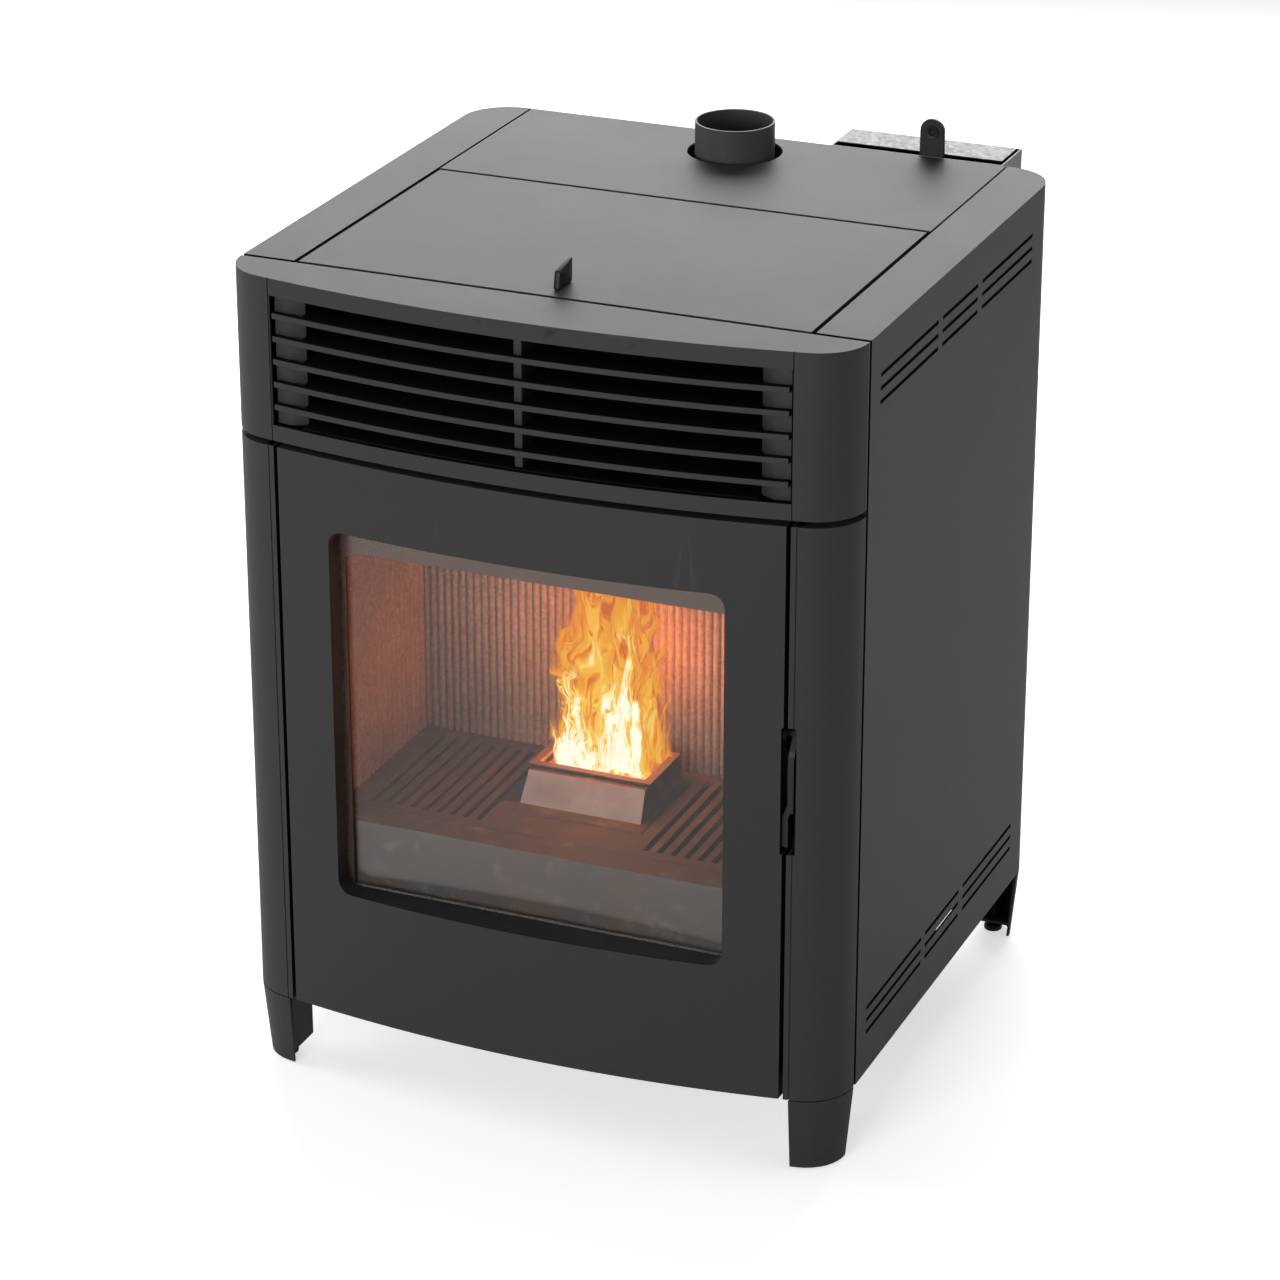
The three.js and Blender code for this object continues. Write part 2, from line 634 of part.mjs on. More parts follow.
function hopperGrille() {
  const x = hopperHalfWidth - sheet - 0.4;
  const slope = (hopperMidY - hopperFrontY) / (hopperFlangeTop - sheet - hopperMidZ);
  const y0 = hopperFrontY + slope * (hopperFlangeTop - sheet - grilleZ + 2) + sheet * 2.4;
  const y1 = hopperBackY - sheet - 0.4;
  const frame = block(-x, x, y0, y1, grilleZ - 2, grilleZ + 2);
  const step = (2 * x - grilleBar) / grilleOpenings;
  const openings = Array.from({ length: grilleOpenings }, (_, i) => {
    const left = -x + grilleBar + step * i;
    return block(left, left + step - grilleBar, y0 + 6, y1 - 6, grilleZ - 3, grilleZ + 3);
  });
  return cut(frame, ...openings);
}

// ---- Door ----
const doorRimDepth = 2;
const doorRimBackY = glassBackY + 2.25;
const framePlateY = doorRimBackY + 1;
const frameThickness = 3;
const frameHalfWidth = doorHalfWidth - 9;
const frameBottom = doorBottom + 61;
const frameTop = doorTop - 15;
const gasketWidth = 10;
const hingeX = -doorHalfWidth + 4;
const hingeY = bowY(hingeX, 0) + 6.49;
const hingePinRadius = 2;
const knuckleRadius = 3.5;
const hingeZ = [doorBottom + 71, doorTop - 54];
const knuckleHeight = 20;
const ropeBackY = framePlateY + frameThickness + 8.7;
const ropeWidth = 10;

function windowOutline(grow) {
  return roundRect(-windowHalfWidth - grow, windowHalfWidth + grow, windowBottom - grow,
    windowTop + grow, windowRadius + grow);
}

function hingeNotch(z) {
  return block(-doorHalfWidth - 1, -doorHalfWidth + 9, bowY(hingeX, doorSkin) + 0.2,
    doorRimBackY + 2, z - 14, z + knuckleHeight + 14);
}

// The bowed door skin with a turned rim and the deep black reveal round the glass.
function doorPanel() {
  const skin = prismZ(bowStrip(-doorHalfWidth, doorHalfWidth, 0, doorSkin, 28),
    doorBottom, doorTop);
  const outer = bowStrip(-doorHalfWidth, doorHalfWidth, doorSkin - 1, doorSkin, 28).slice(0, 29);
  const pan = prismZ([...outer, [doorHalfWidth, doorRimBackY], [-doorHalfWidth, doorRimBackY]],
    doorBottom, doorTop);
  const hollow = block(-doorHalfWidth + doorRimDepth, doorHalfWidth - doorRimDepth,
    frontY - 1, 0, doorBottom + doorRimDepth, doorTop - doorRimDepth);
  const rim = cut(pan, hollow);
  const reveal = cut(prismY(windowOutline(2.5), frontY, glassFrontY - seat),
    prismZ([[-300, frontY - 5], [300, frontY - 5],
      ...bowStrip(-300, 300, 0, 1, 28).slice(0, 29).reverse()], 0, bodyHeight));
  const window = prismY(windowOutline(0), frontY - 1, glassFrontY + 1);
  const handleSlot = block(doorHalfWidth - doorRimDepth - 0.1, halfWidth, frontY, 0,
    slotBottom, slotTop);
  const notches = hingeZ.map((z) => hingeNotch(z));
  return cut(join(skin, rim, reveal), window, handleSlot, ...notches);
}

// Flat frame that clamps the glass, with side walls, hinge knuckles and the handle bearing.
function doorInnerFrame() {
  const back = block(-frameHalfWidth, frameHalfWidth, framePlateY,
    framePlateY + frameThickness, frameBottom, frameTop);
  const opening = prismY(roundRect(-frameOpeningHalfWidth, frameOpeningHalfWidth,
    windowBottom - 6, frameOpeningTop, 8), framePlateY - 1, framePlateY + frameThickness + 1);
  const wallFront = bowY(frameHalfWidth, doorSkin) + seat + 0.4;
  const wall = block(frameHalfWidth - sheet, frameHalfWidth, wallFront, framePlateY + 1,
    frameBottom, frameTop);
  const knuckles = hingeZ.flatMap((z) => [
    prismZ(circle(hingeX, hingeY, knuckleRadius, 16), z, z + knuckleHeight),
    block(hingeX - knuckleRadius, -frameHalfWidth + 1, hingeY, framePlateY + 1, z,
      z + knuckleHeight)]);
  const pinHoles = hingeZ.map((z) => prismZ(circle(hingeX, hingeY, hingePinRadius + seat, 16),
    z - 1, z + knuckleHeight + 1));
  const bearing = block(frameHalfWidth - sheet, frameHalfWidth, framePlateY,
    pivotY + 6, pivotZ - 11, pivotZ + 11);
  const spindleHole = prismX(circle(pivotY, pivotZ, spindleRadius + seat, 16),
    frameHalfWidth - sheet - 1, frameHalfWidth + 1);
  return cut(join(back, wall, mirrored(wall, 'x'), ...knuckles, bearing),
    opening, ...pinHoles, spindleHole);
}

function doorGlass() {
  return block(-windowHalfWidth - 13, windowHalfWidth + 13, glassFrontY, glassBackY,
    windowBottom - 12, windowTop + 12);
}

function glassGasket() {
  const y0 = glassBackY + seat;
  const y1 = framePlateY - seat;
  const x = windowHalfWidth + 11;
  const outer = prismY(roundRect(-x, x, windowBottom - 10, windowTop + 10, 12), y0, y1);
  const inner = prismY(roundRect(-x + gasketWidth, x - gasketWidth,
    windowBottom - 10 + gasketWidth, windowTop + 10 - gasketWidth, 6), y0 - 1, y1 + 1);
  return cut(outer, inner);
}

function doorRopeSeal() {
  const y0 = framePlateY + frameThickness + seat;
  const x = frameHalfWidth - 4;
  const outer = prismY(roundRect(-x, x, sealBottom, sealTop, 18), y0, ropeBackY);
  const inner = prismY(roundRect(-x + ropeWidth, x - ropeWidth, sealBottom + ropeWidth,
    sealTop - ropeWidth, 8), y0 - 1, ropeBackY + 1);
  return cut(outer, inner);
}

// Fixed hinge bracket with its upright pin, screwed to the front of the fire chamber.
function hingeBracket(z) {
  const top = z - 0.6;
  const arm = block(hingeX - 2.8, hingeX + 2.8, hingeY, ropeBackY - plate + 1, top - 4, top);
  const nose = prismZ(circle(hingeX, hingeY, 2.8, 16), top - 4, top);
  const pin = prismZ(circle(hingeX, hingeY, hingePinRadius, 16), top - 1, top + knuckleHeight);
  const foot = block(hingeX - 5, hingeX + 4, ropeBackY - plate, ropeBackY, top - 18, top);
  return join(arm, nose, pin, foot);
}

// ---- Handle and latch ----
const pivotY = framePlateY + 5;
const pivotZ = slotTop - 15;
const spindleRadius = 4;
const leverX = doorHalfWidth + 3;
const leverThickness = 6;
const leverJog = 5;
const leverFrontY = frontY + 26.75;
const leverDepth = 12;
const keeperZ = pivotZ + 4;

function doorHandle() {
  const backFace = leverFrontY + leverDepth;
  const profile = [[pivotY + 7, pivotZ - 4], [pivotY + 6, pivotZ + 7], [pivotY - 4, pivotZ + 8],
    [leverFrontY + 4, pivotZ - 10], [leverFrontY, pivotZ - 18], [leverFrontY, 376],
    [backFace, 376], [backFace, pivotZ - 24], [pivotY - 2, pivotZ - 9]].reverse();
  const upper = prismX(profile, leverX, leverX + leverThickness);
  const lower = block(leverX - leverJog, leverX - leverJog + leverThickness, leverFrontY,
    backFace, 341, 372);
  const bend = funnel([leverX - leverJog, leverX - leverJog + leverThickness, leverFrontY,
    backFace], 371, [leverX, leverX + leverThickness, leverFrontY, backFace], 384);
  const spindle = prismX(circle(pivotY, pivotZ, spindleRadius, 16),
    frameHalfWidth - sheet - 0.4, leverX + 1);
  return join(upper, lower, bend, spindle);
}

function latchCam() {
  const x0 = frameHalfWidth + 1.5;
  const x1 = x0 + 3.5;
  const hub = prismX(circle(pivotY, pivotZ, 8, 20), x0, x1);
  const finger = prismX([[pivotY, pivotZ - 8], [pivotY + 22, pivotZ - 8],
    [pivotY + 24, keeperZ - 0.4], [pivotY + 18, keeperZ - 0.4], [pivotY + 16, pivotZ - 1],
    [pivotY, pivotZ - 1]], x0, x1);
  const bore = prismX(circle(pivotY, pivotZ, spindleRadius + seat, 16), x0 - 1, x1 + 1);
  return cut(join(hub, finger), bore);
}

// ---- Fire chamber ----
const flangeHalfWidth = postEdgeX - 2;
const flangeBottom = 160;
const flangeY = ropeBackY + seat;
const openingHalfWidth = flangeHalfWidth - 28;
const openingBottom = 184;
const openingTop = chamberTop - 38;
const sealBottom = 172;
const sealTop = chamberTop - 24;
const ductX0 = -chamberHalfWidth - 3;
const ductX1 = ductX0 + 78;
const ductZ0 = 295;
const ductZ1 = 375;
const igniterRadius = 6;
const igniterZ = chamberFloor + 16;
const chuteHalfWidth = 22;
const chuteZ0 = augerHighZ - 32;
const chuteZ1 = augerHighZ + 10;

function chamberWallX() {
  return chamberHalfWidth + linerThickness + seat;
}

function firebox() {
  const x = chamberWallX();
  const backFace = chamberBackY + backLinerThickness + seat;
  const floor = openingBottom - plate;
  const shell = cut(block(-x - plate, x + plate, flangeY, backFace + plate, floor, chamberTop),
    block(-x, x, flangeY - 1, backFace, floor + plate, chamberTop - plate));
  const skirt = block(x, x + plate, flangeY + 20, backFace + plate, baseTop + seat, floor + 1);
  const flange = block(-flangeHalfWidth, flangeHalfWidth, flangeY, flangeY + plate,
    flangeBottom, chamberTop);
  const opening = block(-openingHalfWidth, openingHalfWidth, flangeY - 1, flangeY + plate + 1,
    openingBottom, openingTop);
  const latchSlot = block(frameHalfWidth + 1, flangeHalfWidth - 1.5, flangeY - 1,
    flangeY + plate + 1, pivotZ - 20, keeperZ);
  const smokeDuct = cut(
    block(ductX0, ductX1, backFace, exhaustFrontY - seat, ductZ0, ductZ1),
    block(ductX0 + sheet, ductX1 - sheet, backFace - 1, exhaustFrontY + 1,
      ductZ0 + sheet, ductZ1 - sheet));
  const smokeHole = block(ductX0 + sheet, ductX1 - sheet, backFace - 1, backFace + plate + 1,
    ductZ0 + sheet, ductZ1 - sheet);
  const chuteHole = block(-chuteHalfWidth - seat, chuteHalfWidth + seat, backFace - 1,
    backFace + plate + 1, chuteZ0 - seat, chuteZ1 + seat);
  const igniterHole = prismY(circle(0, igniterZ, igniterRadius + seat, 16), backFace - 1,
    backFace + plate + 1);
  const joined = cut(join(shell, flange, skirt, mirrored(skirt, 'x')), opening, latchSlot,
    smokeHole, chuteHole, igniterHole);
  return join(joined, smokeDuct);
}

// A fluted slab outline: flutes along its face, a flat back.
function flutedLine(length, pitch, depth, thickness) {
  const count = Math.round(length / pitch);
  const step = length / count;
  const face = Array.from({ length: count }, (_, i) => {
    const a = i * step;
    return [[a, 0], [a + step * 0.3, 0], [a + step * 0.5, depth], [a + step * 0.8, depth]];
  }).flat();
  return [...face, [length, 0], [length, thickness], [0, thickness]];
}

const linerTop = chamberTop - 32;
const flutePitch = 8;
const sideFlutePitch = 10.8;
const fluteDepth = 3;
const sideLinerFrontY = ropeBackY + 17.3;

function backLiner() {
  const width = 2 * chamberHalfWidth;
  const line = flutedLine(width, flutePitch, fluteDepth, backLinerThickness)
    .map(([a, b]) => [a - chamberHalfWidth, chamberBackY + b]);
  const slab = prismZ(line, chamberFloor + seat, linerTop);
  const chuteHole = block(-chuteHalfWidth - seat, chuteHalfWidth + seat, chamberBackY - 1,
    chamberBackY + backLinerThickness + 1, chuteZ0 - seat, chuteZ1 + seat);
  const igniterHole = prismY(circle(0, igniterZ, igniterRadius + seat, 18), chamberBackY - 1,
    chamberBackY + backLinerThickness + 1);
  const smokeHole = block(ductX0 + 8, ductX1 - sheet, chamberBackY - 1,
    chamberBackY + backLinerThickness + 1, ductZ0 + 20, ductZ1 - sheet);
  return cut(slab, chuteHole, igniterHole, smokeHole);
}

function leftLiner() {
  const length = chamberBackY - seat - sideLinerFrontY;
  const line = flutedLine(length, sideFlutePitch, fluteDepth, linerThickness)
    .map(([a, b]) => [-chamberHalfWidth - b, sideLinerFrontY + a]);
  return prismZ(line, chamberFloor + seat, linerTop);
}

// Slotted grate plate with the raised holder that the fire pot hangs in.
const grateFrontY = drawerFrontY + 33;
const holderTop = chamberFloor + 31;
const holderFootY = potFrontY - 24;

function ashGrate() {
  const backEdge = chamberBackY + backLinerThickness;
  const x = chamberWallX() - 1;
  const deck = block(-x, x, grateFrontY, backEdge, chamberFloor - plate, chamberFloor);
  const slotCount = 9;
  const slots = [-1, 1].flatMap((side) => Array.from({ length: slotCount }, (_, i) => {
    const slotX = side * (88 + i * 14);
    return block(slotX - 3, slotX + 3, grateFrontY + 14, chamberBackY - 12,
      chamberFloor - plate - 1, chamberFloor + 1);
  }));
  const base = block(-71, 71, potFrontY - 39, potBackY + 7, chamberFloor - 1, chamberFloor + 2);
  const outer = funnel([-64, 64, holderFootY, potBackY + 5], chamberFloor,
    [-61.5, 61.5, potFrontY - 6, potBackY + 3], holderTop);
  const inner = funnel([-56, 56, potFrontY + 6, potBackY - 6], chamberFloor - 20,
    [-56, 56, potFrontY + 6, potBackY - 6], holderTop + 1);
  const legs = block(-x, -x + plate, grateFrontY, backEdge - 2, openingBottom + seat,
    chamberFloor - 1);
  const ledge = block(-x, x, grateFrontY, grateFrontY + plate, chamberFloor - 14,
    chamberFloor - 1);
  return cut(join(deck, base, outer, legs, mirrored(legs, 'x'), ledge), inner, ...slots);
}

function firePot() {
  const rim = funnel([-potHalfWidth + 3, potHalfWidth - 3, potFrontY + 3, potBackY - 3],
    holderTop + seat, [-potHalfWidth, potHalfWidth, potFrontY, potBackY], potRim);
  const tub = block(-54, 54, potFrontY + 8, potBackY - 8, chamberFloor - 15, holderTop + 1);
  const hollow = funnel([-46, 46, potFrontY + 15, potBackY - 15], chamberFloor - 11,
    [-56, 56, potFrontY + 8, potBackY - 8], potRim + 1);
  const holes = [-36, -18, 0, 18, 36].flatMap((x) => [-12.5, 0, 12.5].map((y) => prismZ(
    circle(x, (potFrontY + potBackY) / 2 + y, 2.5, 8), chamberFloor - 16, chamberFloor - 10)));
  return cut(join(rim, tub), hollow, ...holes);
}

// Ash drawer: pan under the grate with the tall front and top shelf seen through the glass.
function ashDrawer() {
  const low = openingBottom + seat;
  const wall = 1.5;
  const backEdge = chamberBackY - 20;
  const pan = cut(block(-drawerHalfWidth, drawerHalfWidth, drawerFrontY + 2, backEdge, low, 244),
    block(-drawerHalfWidth + wall, drawerHalfWidth - wall, drawerFrontY + plate + 2,
      backEdge - wall, low + wall, 250));
  const front = block(-drawerHalfWidth, drawerHalfWidth, drawerFrontY, drawerFrontY + plate,
    openingBottom + 4, chamberFloor);
  const shelf = block(-drawerHalfWidth, drawerHalfWidth, drawerFrontY, grateFrontY - 1,
    chamberFloor - plate, chamberFloor);
  return join(pan, front, shelf);
}

function igniter() {
  const tip = prismY(circle(0, igniterZ, igniterRadius, 16), chamberBackY - 24.75, chamberBackY + 94.25);
  const head = prismY(circle(0, igniterZ, igniterRadius + 4, 16), chamberBackY + 16.25 + seat * 2,
    chamberBackY + 26.25);
  return join(tip, head);
}

// ---- Pellet feed ----

function augerPoint(distance) {
  const span = Math.hypot(augerHighY - augerLowY, augerHighZ - augerLowZ);
  const t = distance / span;
  return [0, augerLowY + (augerHighY - augerLowY) * t, augerLowZ + (augerHighZ - augerLowZ) * t];
}

function augerAxisZ(y) {
  return augerLowZ + (augerHighZ - augerLowZ) * (augerLowY - y) / (augerLowY - augerHighY);
}

function augerSpan() {
  return Math.hypot(augerHighY - augerLowY, augerHighZ - augerLowZ);
}

function augerSleeve(radius) {
  return bar(augerPoint(0), augerPoint(augerSpan()), radius, 28);
}

function augerTube() {
  const outside = augerSleeve(augerTubeRadius);
  const inside = bar(augerPoint(sheet), augerPoint(augerSpan() - sheet),
    augerTubeRadius - sheet, 28);
  const shaftHole = bar(augerPoint(-1), augerPoint(sheet + 1), 8 + seat, 18);
  const hopperPort = block(-throatHalfWidth + sheet + 1, throatHalfWidth - sheet - 1,
    throatFrontY + 3, hopperBackY - 3, 300, throatZ);
  const chute = block(-chuteHalfWidth, chuteHalfWidth, chamberBackY + 0.5, augerHighY + 4,
    chuteZ0, chuteZ1);
  const chuteBore = block(-chuteHalfWidth + sheet, chuteHalfWidth - sheet, chamberBackY - 1,
    augerHighY + 8, chuteZ0 + sheet, chuteZ1 - sheet);
  return cut(join(outside, cut(chute, augerSleeve(augerTubeRadius - sheet / 2))), inside, shaftHole,
    hopperPort, chuteBore);
}

// Feed screw: a helical flight welded round a shaft, drawn upright and then laid along the tube.
function augerScrew() {
  const radius = augerTubeRadius - sheet - 2;
  const shaftRadius = 8;
  const core = 3;
  const halfFlight = 1.5;
  const length = augerSpan() - 2 * sheet - 12;
  const perTurn = 12;
  const steps = Math.round(length / augerPitch * perTurn);
  const vertices = [];
  for (let i = 0; i <= steps; i += 1) {
    const angle = 2 * Math.PI * (i + 0.5) / perTurn;
    const z = sheet + 6 + augerPitch * i / perTurn;
    const ring = [[core, z - halfFlight], [radius, z - halfFlight], [radius, z + halfFlight],
      [core, z + halfFlight]];
    ring.forEach(([r, h]) => vertices.push(r * Math.cos(angle), r * Math.sin(angle), h));
  }
  const index = [0, 1, 2, 0, 2, 3];
  for (let i = 0; i < steps; i += 1) {
    for (let k = 0; k < 4; k += 1) {
      const a = 4 * i + k;
      const b = 4 * i + (k + 1) % 4;
      index.push(a, b + 4, b, a, a + 4, b + 4);
    }
  }
  const end = 4 * steps;
  index.push(end, end + 2, end + 1, end, end + 3, end + 2);
  const flight = new THREE.BufferGeometry();
  flight.setAttribute('position', new THREE.BufferAttribute(new Float32Array(vertices), 3));
  flight.setIndex(index);
  const shaft = prismZ(circle(0, 0, shaftRadius, perTurn), -14, augerSpan() - sheet - 2);
  const screw = geometryOf(join(solid(flight), shaft));
  const low = new THREE.Vector3(...augerPoint(0));
  const direction = new THREE.Vector3(...augerPoint(augerSpan())).sub(low).normalize();
  screw.applyQuaternion(
    new THREE.Quaternion().setFromUnitVectors(new THREE.Vector3(0, 0, 1), direction));
  return solid(screw.translate(low.x, low.y, low.z));
}

function feedMotor() {
  const gearbox = bar(augerPoint(-38), augerPoint(-seat), 36, 24);
  const can = bar(augerPoint(-88), augerPoint(-37), 27, 22);
  const bore = bar(augerPoint(-16), augerPoint(1), 8 + seat, 14);
  return cut(join(gearbox, can), bore);
}

// ---- Smoke fan, flue pipe and room-air blower ----
const exhaustX = ductX1 - 38;
const exhaustZ = 335;
const exhaustRadius = 68;
const exhaustBackY = backY - 40.25;
const exhaustFrontY = exhaustBackY - 60;
const stubZ = exhaustZ + 40;
const stubRadius = 24;
const flueBottom = stubZ - 30;
const flueWall = 2;
const intakeX = -110;
const intakeZ = 230;
const intakeRadius = 25;

function exhaustHousing() {
  const drum = prismY(circle(exhaustX, exhaustZ, exhaustRadius, 32), exhaustFrontY, exhaustBackY);
  const outlet = prismX(circle(exhaustOutletY(), stubZ, stubRadius + 6, 24), exhaustX,
    exhaustX + exhaustRadius);
  const cavity = prismY(circle(exhaustX, exhaustZ, exhaustRadius - sheet, 32),
    exhaustFrontY + sheet, exhaustBackY - sheet);
  const outletBore = prismX(circle(exhaustOutletY(), stubZ, stubRadius + seat, 24), exhaustX,
    exhaustX + exhaustRadius + 1);
  const inlet = prismY(circle(exhaustX, exhaustZ, 26, 20), exhaustFrontY - 1,
    exhaustFrontY + sheet + 1);
  const motor = prismY(circle(exhaustX, exhaustZ, 30, 24), exhaustBackY - 1, backY - sheet - 3);
  const bore = prismY(circle(exhaustX, exhaustZ, 5 + seat, 12), exhaustBackY - sheet - 1,
    exhaustBackY + 12);
  return cut(join(drum, outlet, motor), cavity, outletBore, inlet, bore);
}

function exhaustOutletY() {
  return (exhaustFrontY + exhaustBackY) / 2;
}

function fanWheel(x, y0, z, radius, hub, blades) {
  const disc = prismY(circle(x, z, radius, 28), y0, y0 + 2);
  const boss = prismY(circle(x, z, hub, 12), y0, y0 + 24);
  const vanes = Array.from({ length: blades }, (_, i) => {
    const angle = 2 * Math.PI * i / blades;
    const across = [-Math.sin(angle), Math.cos(angle)];
    const out = [Math.cos(angle), Math.sin(angle)];
    const corner = (r, w) => [x + out[0] * r + across[0] * w, z + out[1] * r + across[1] * w];
    return prismY([corner(hub - 1, -1), corner(radius - 1, -1), corner(radius - 1, 1),
      corner(hub - 1, 1)], y0 + 1, y0 + 22);
  });
  return join(disc, boss, ...vanes);
}

function exhaustImpeller() {
  const y0 = exhaustBackY - sheet - 30;
  const wheel = fanWheel(exhaustX, y0, exhaustZ, exhaustRadius - 12, 9, 8);
  const shaft = prismY(circle(exhaustX, exhaustZ, 5, 12), y0 + 23, exhaustBackY + 11);
  return join(wheel, shaft);
}

function fluePipe() {
  const radius = flueDiameter / 2;
  const top = bodyHeight + flueRise;
  const upright = prismZ(circle(flueX, flueY, radius, 48), flueBottom, top);
  const bore = prismZ(circle(flueX, flueY, radius - flueWall, 48), flueBottom + flueWall,
    top + 1);
  const stubEnd = exhaustX + exhaustRadius - 8;
  const stub = prismX(circle(exhaustOutletY(), stubZ, stubRadius, 24), stubEnd, flueX);
  const stubBore = prismX(circle(exhaustOutletY(), stubZ, stubRadius - flueWall, 24),
    stubEnd - 1, flueX);
  return cut(join(upright, stub), bore, stubBore);
}

const blowerX1 = halfWidth - 86;
const blowerX0 = blowerX1 - 150;
const blowerY = backY - 79.25;
const blowerZ = 160;
const blowerRadius = 58;

function blowerHousing() {
  const drum = prismX(circle(blowerY, blowerZ, blowerRadius, 28), blowerX0, blowerX1);
  const outlet = block(blowerX0 + 5, blowerX1 - 5, blowerY - 136, blowerY, blowerZ - blowerRadius,
    blowerZ - 12);
  const cavity = prismX(circle(blowerY, blowerZ, blowerRadius - sheet, 28), blowerX0 + sheet,
    blowerX1 - sheet);
  const outletBore = block(blowerX0 + 5 + sheet, blowerX1 - 5 - sheet, blowerY - 137, blowerY,
    blowerZ - blowerRadius + sheet, blowerZ - 12 - sheet);
  const inlet = prismX(circle(blowerY, blowerZ, 38, 24), blowerX1 - sheet - 1, blowerX1 + 1);
  const motor = prismX(circle(blowerY, blowerZ, 26, 20), blowerX0 - 22, blowerX0 + 1);
  const bore = prismX(circle(blowerY, blowerZ, 4 + seat, 12), blowerX0 - 10,
    blowerX0 + sheet + 1);
  const feet = block(blowerX0 + 5, blowerX1 - 5, blowerY - 46, blowerY + 44, baseTop + seat,
    blowerZ - blowerRadius + 6);
  return cut(join(drum, outlet, motor, feet), cavity, outletBore, inlet, bore);
}

function blowerRotor() {
  const x0 = blowerX0 + 10;
  const x1 = blowerX1 - 10;
  const drum = cut(prismX(circle(blowerY, blowerZ, 48, 28), x0, x1),
    prismX(circle(blowerY, blowerZ, 42, 28), x0 + 3, x1 + 1));
  const windows = Array.from({ length: 14 }, (_, i) => {
    const angle = 2 * Math.PI * i / 14;
    const y = blowerY + 45 * Math.cos(angle);
    const z = blowerZ + 45 * Math.sin(angle);
    return prismX(circle(y, z, 5, 4), x0 + 12, x1 - 8);
  });
  const shaft = prismX(circle(blowerY, blowerZ, 4, 12), blowerX0 - 9, x1 - 20);
  return join(cut(drum, ...windows), shaft);
}

// ---- Back of the stove: air intake, mains inlet, switch, connection box and wall lug ----
const inletX = -halfWidth + 111;
const inletZ = 150;
const inletHalfWidth = 32;
const inletHalfHeight = 14;
const boxX1 = halfWidth - 58;
const boxX0 = boxX1 - 181;
const boxDepth = 61.2;
const boxHeight = 65;
const coverFront = 15;
const lugX = boxX1 - 75.75;
const lugWidth = 25.5;
const lugTop = bodyHeight + 38;
const lugHole = 5;
const lugFrontY = backY + 3.75;
const lugThickness = 4;

function airIntake() {
  const pipe = cut(prismY(circle(intakeX, intakeZ, intakeRadius, 28), backY - 75.25, backY + 30),
    prismY(circle(intakeX, intakeZ, intakeRadius - 1.5, 28), backY - 76.25, backY + 31));
  const collar = cut(prismY(circle(intakeX, intakeZ, intakeRadius + 8, 28), backY + seat,
    backY + 2 + seat), prismY(circle(intakeX, intakeZ, intakeRadius - 1.5, 28), backY - 1,
    backY + 4));
  return join(pipe, collar);
}

function mainsInlet() {
  const x0 = inletX - inletHalfWidth + seat;
  const x1 = inletX + inletHalfWidth - seat;
  const body = block(x0, x1, backY - 32, backY + 1, inletZ - inletHalfHeight + seat,
    inletZ + inletHalfHeight - seat);
  const flange = block(x0 - 6, x1 + 6, backY + seat, backY + 3, inletZ - inletHalfHeight - 4,
    inletZ + inletHalfHeight + 4);
  const socket = prismY([[x0 + 3, inletZ - 9], [x0 + 29, inletZ - 9], [x0 + 29, inletZ + 5],
    [x0 + 25, inletZ + 9], [x0 + 7, inletZ + 9], [x0 + 3, inletZ + 5]], backY - 17, backY + 4);
  const switchWell = block(switchX - 11, switchX + 11, backY - 12, backY + 4, inletZ - 8,
    inletZ + 8);
  const pins = [-7, 0, 7].map((dx) => block(x0 + 15 + dx, x0 + 17 + dx, backY - 18, backY - 3,
    inletZ - 3, inletZ + 3));
  return join(cut(join(body, flange), socket, switchWell), ...pins);
}

const switchX = inletX + 16;
const switchPivotY = -3;

function powerSwitch() {
  const y = backY + switchPivotY;
  const rocker = prismZ([[switchX - 9.5, y - 1], [switchX + 9.5, y - 1], [switchX + 9, y + 8],
    [switchX, y + 5], [switchX - 9, y + 4]], inletZ - 7.3, inletZ + 7.3);
  return rocker;
}

function connectionBox() {
  const y0 = backY + seat;
  const y1 = y0 + boxDepth;
  const z0 = bodyHeight - boxHeight;
  const outer = block(boxX0, boxX1, y0, y1, z0, bodyHeight);
  const hollow = block(boxX0 + sheet, boxX1 - sheet, y0 + sheet, y1 - sheet, z0 + sheet,
    bodyHeight + 1);
  const cover = block(boxX0 + 1, boxX1 - 5.5, y0 + coverFront, y1 - 0.5, bodyHeight - 1.5,
    bodyHeight);
  return join(cut(outer, hollow), cover);
}

function wallLug() {
  const radius = lugWidth / 2;
  const low = bodyHeight - boxHeight + sheet + seat;
  const line = [[lugX - radius, low], [lugX + radius, low],
    ...arc(lugX, lugTop - radius, radius, 0, Math.PI, 14)];
  const hole = prismY(circle(lugX, lugTop - radius - 1, lugHole, 20), backY, backY + 12);
  return cut(prismY(line, lugFrontY, lugFrontY + lugThickness), hole);
}

function controlBoard() {
  const x0 = -halfWidth + sheet + seat;
  const y0 = backY - 215.25;
  const board = block(x0 + 10, x0 + 12, y0, y0 + 140, 180, 280);
  const posts = [[8, 188], [132, 188], [8, 272], [132, 272]].map(([y, z]) => block(
    x0, x0 + 11, y0 + y - 3, y0 + y + 3, z - 3, z + 3));
  const parts = [block(x0 + 11, x0 + 30, y0 + 15, y0 + 45, 195, 230),
    block(x0 + 11, x0 + 24, y0 + 60, y0 + 90, 200, 222),
    block(x0 + 11, x0 + 20, y0 + 60, y0 + 120, 240, 262)];
  return join(board, ...posts, ...parts);
}

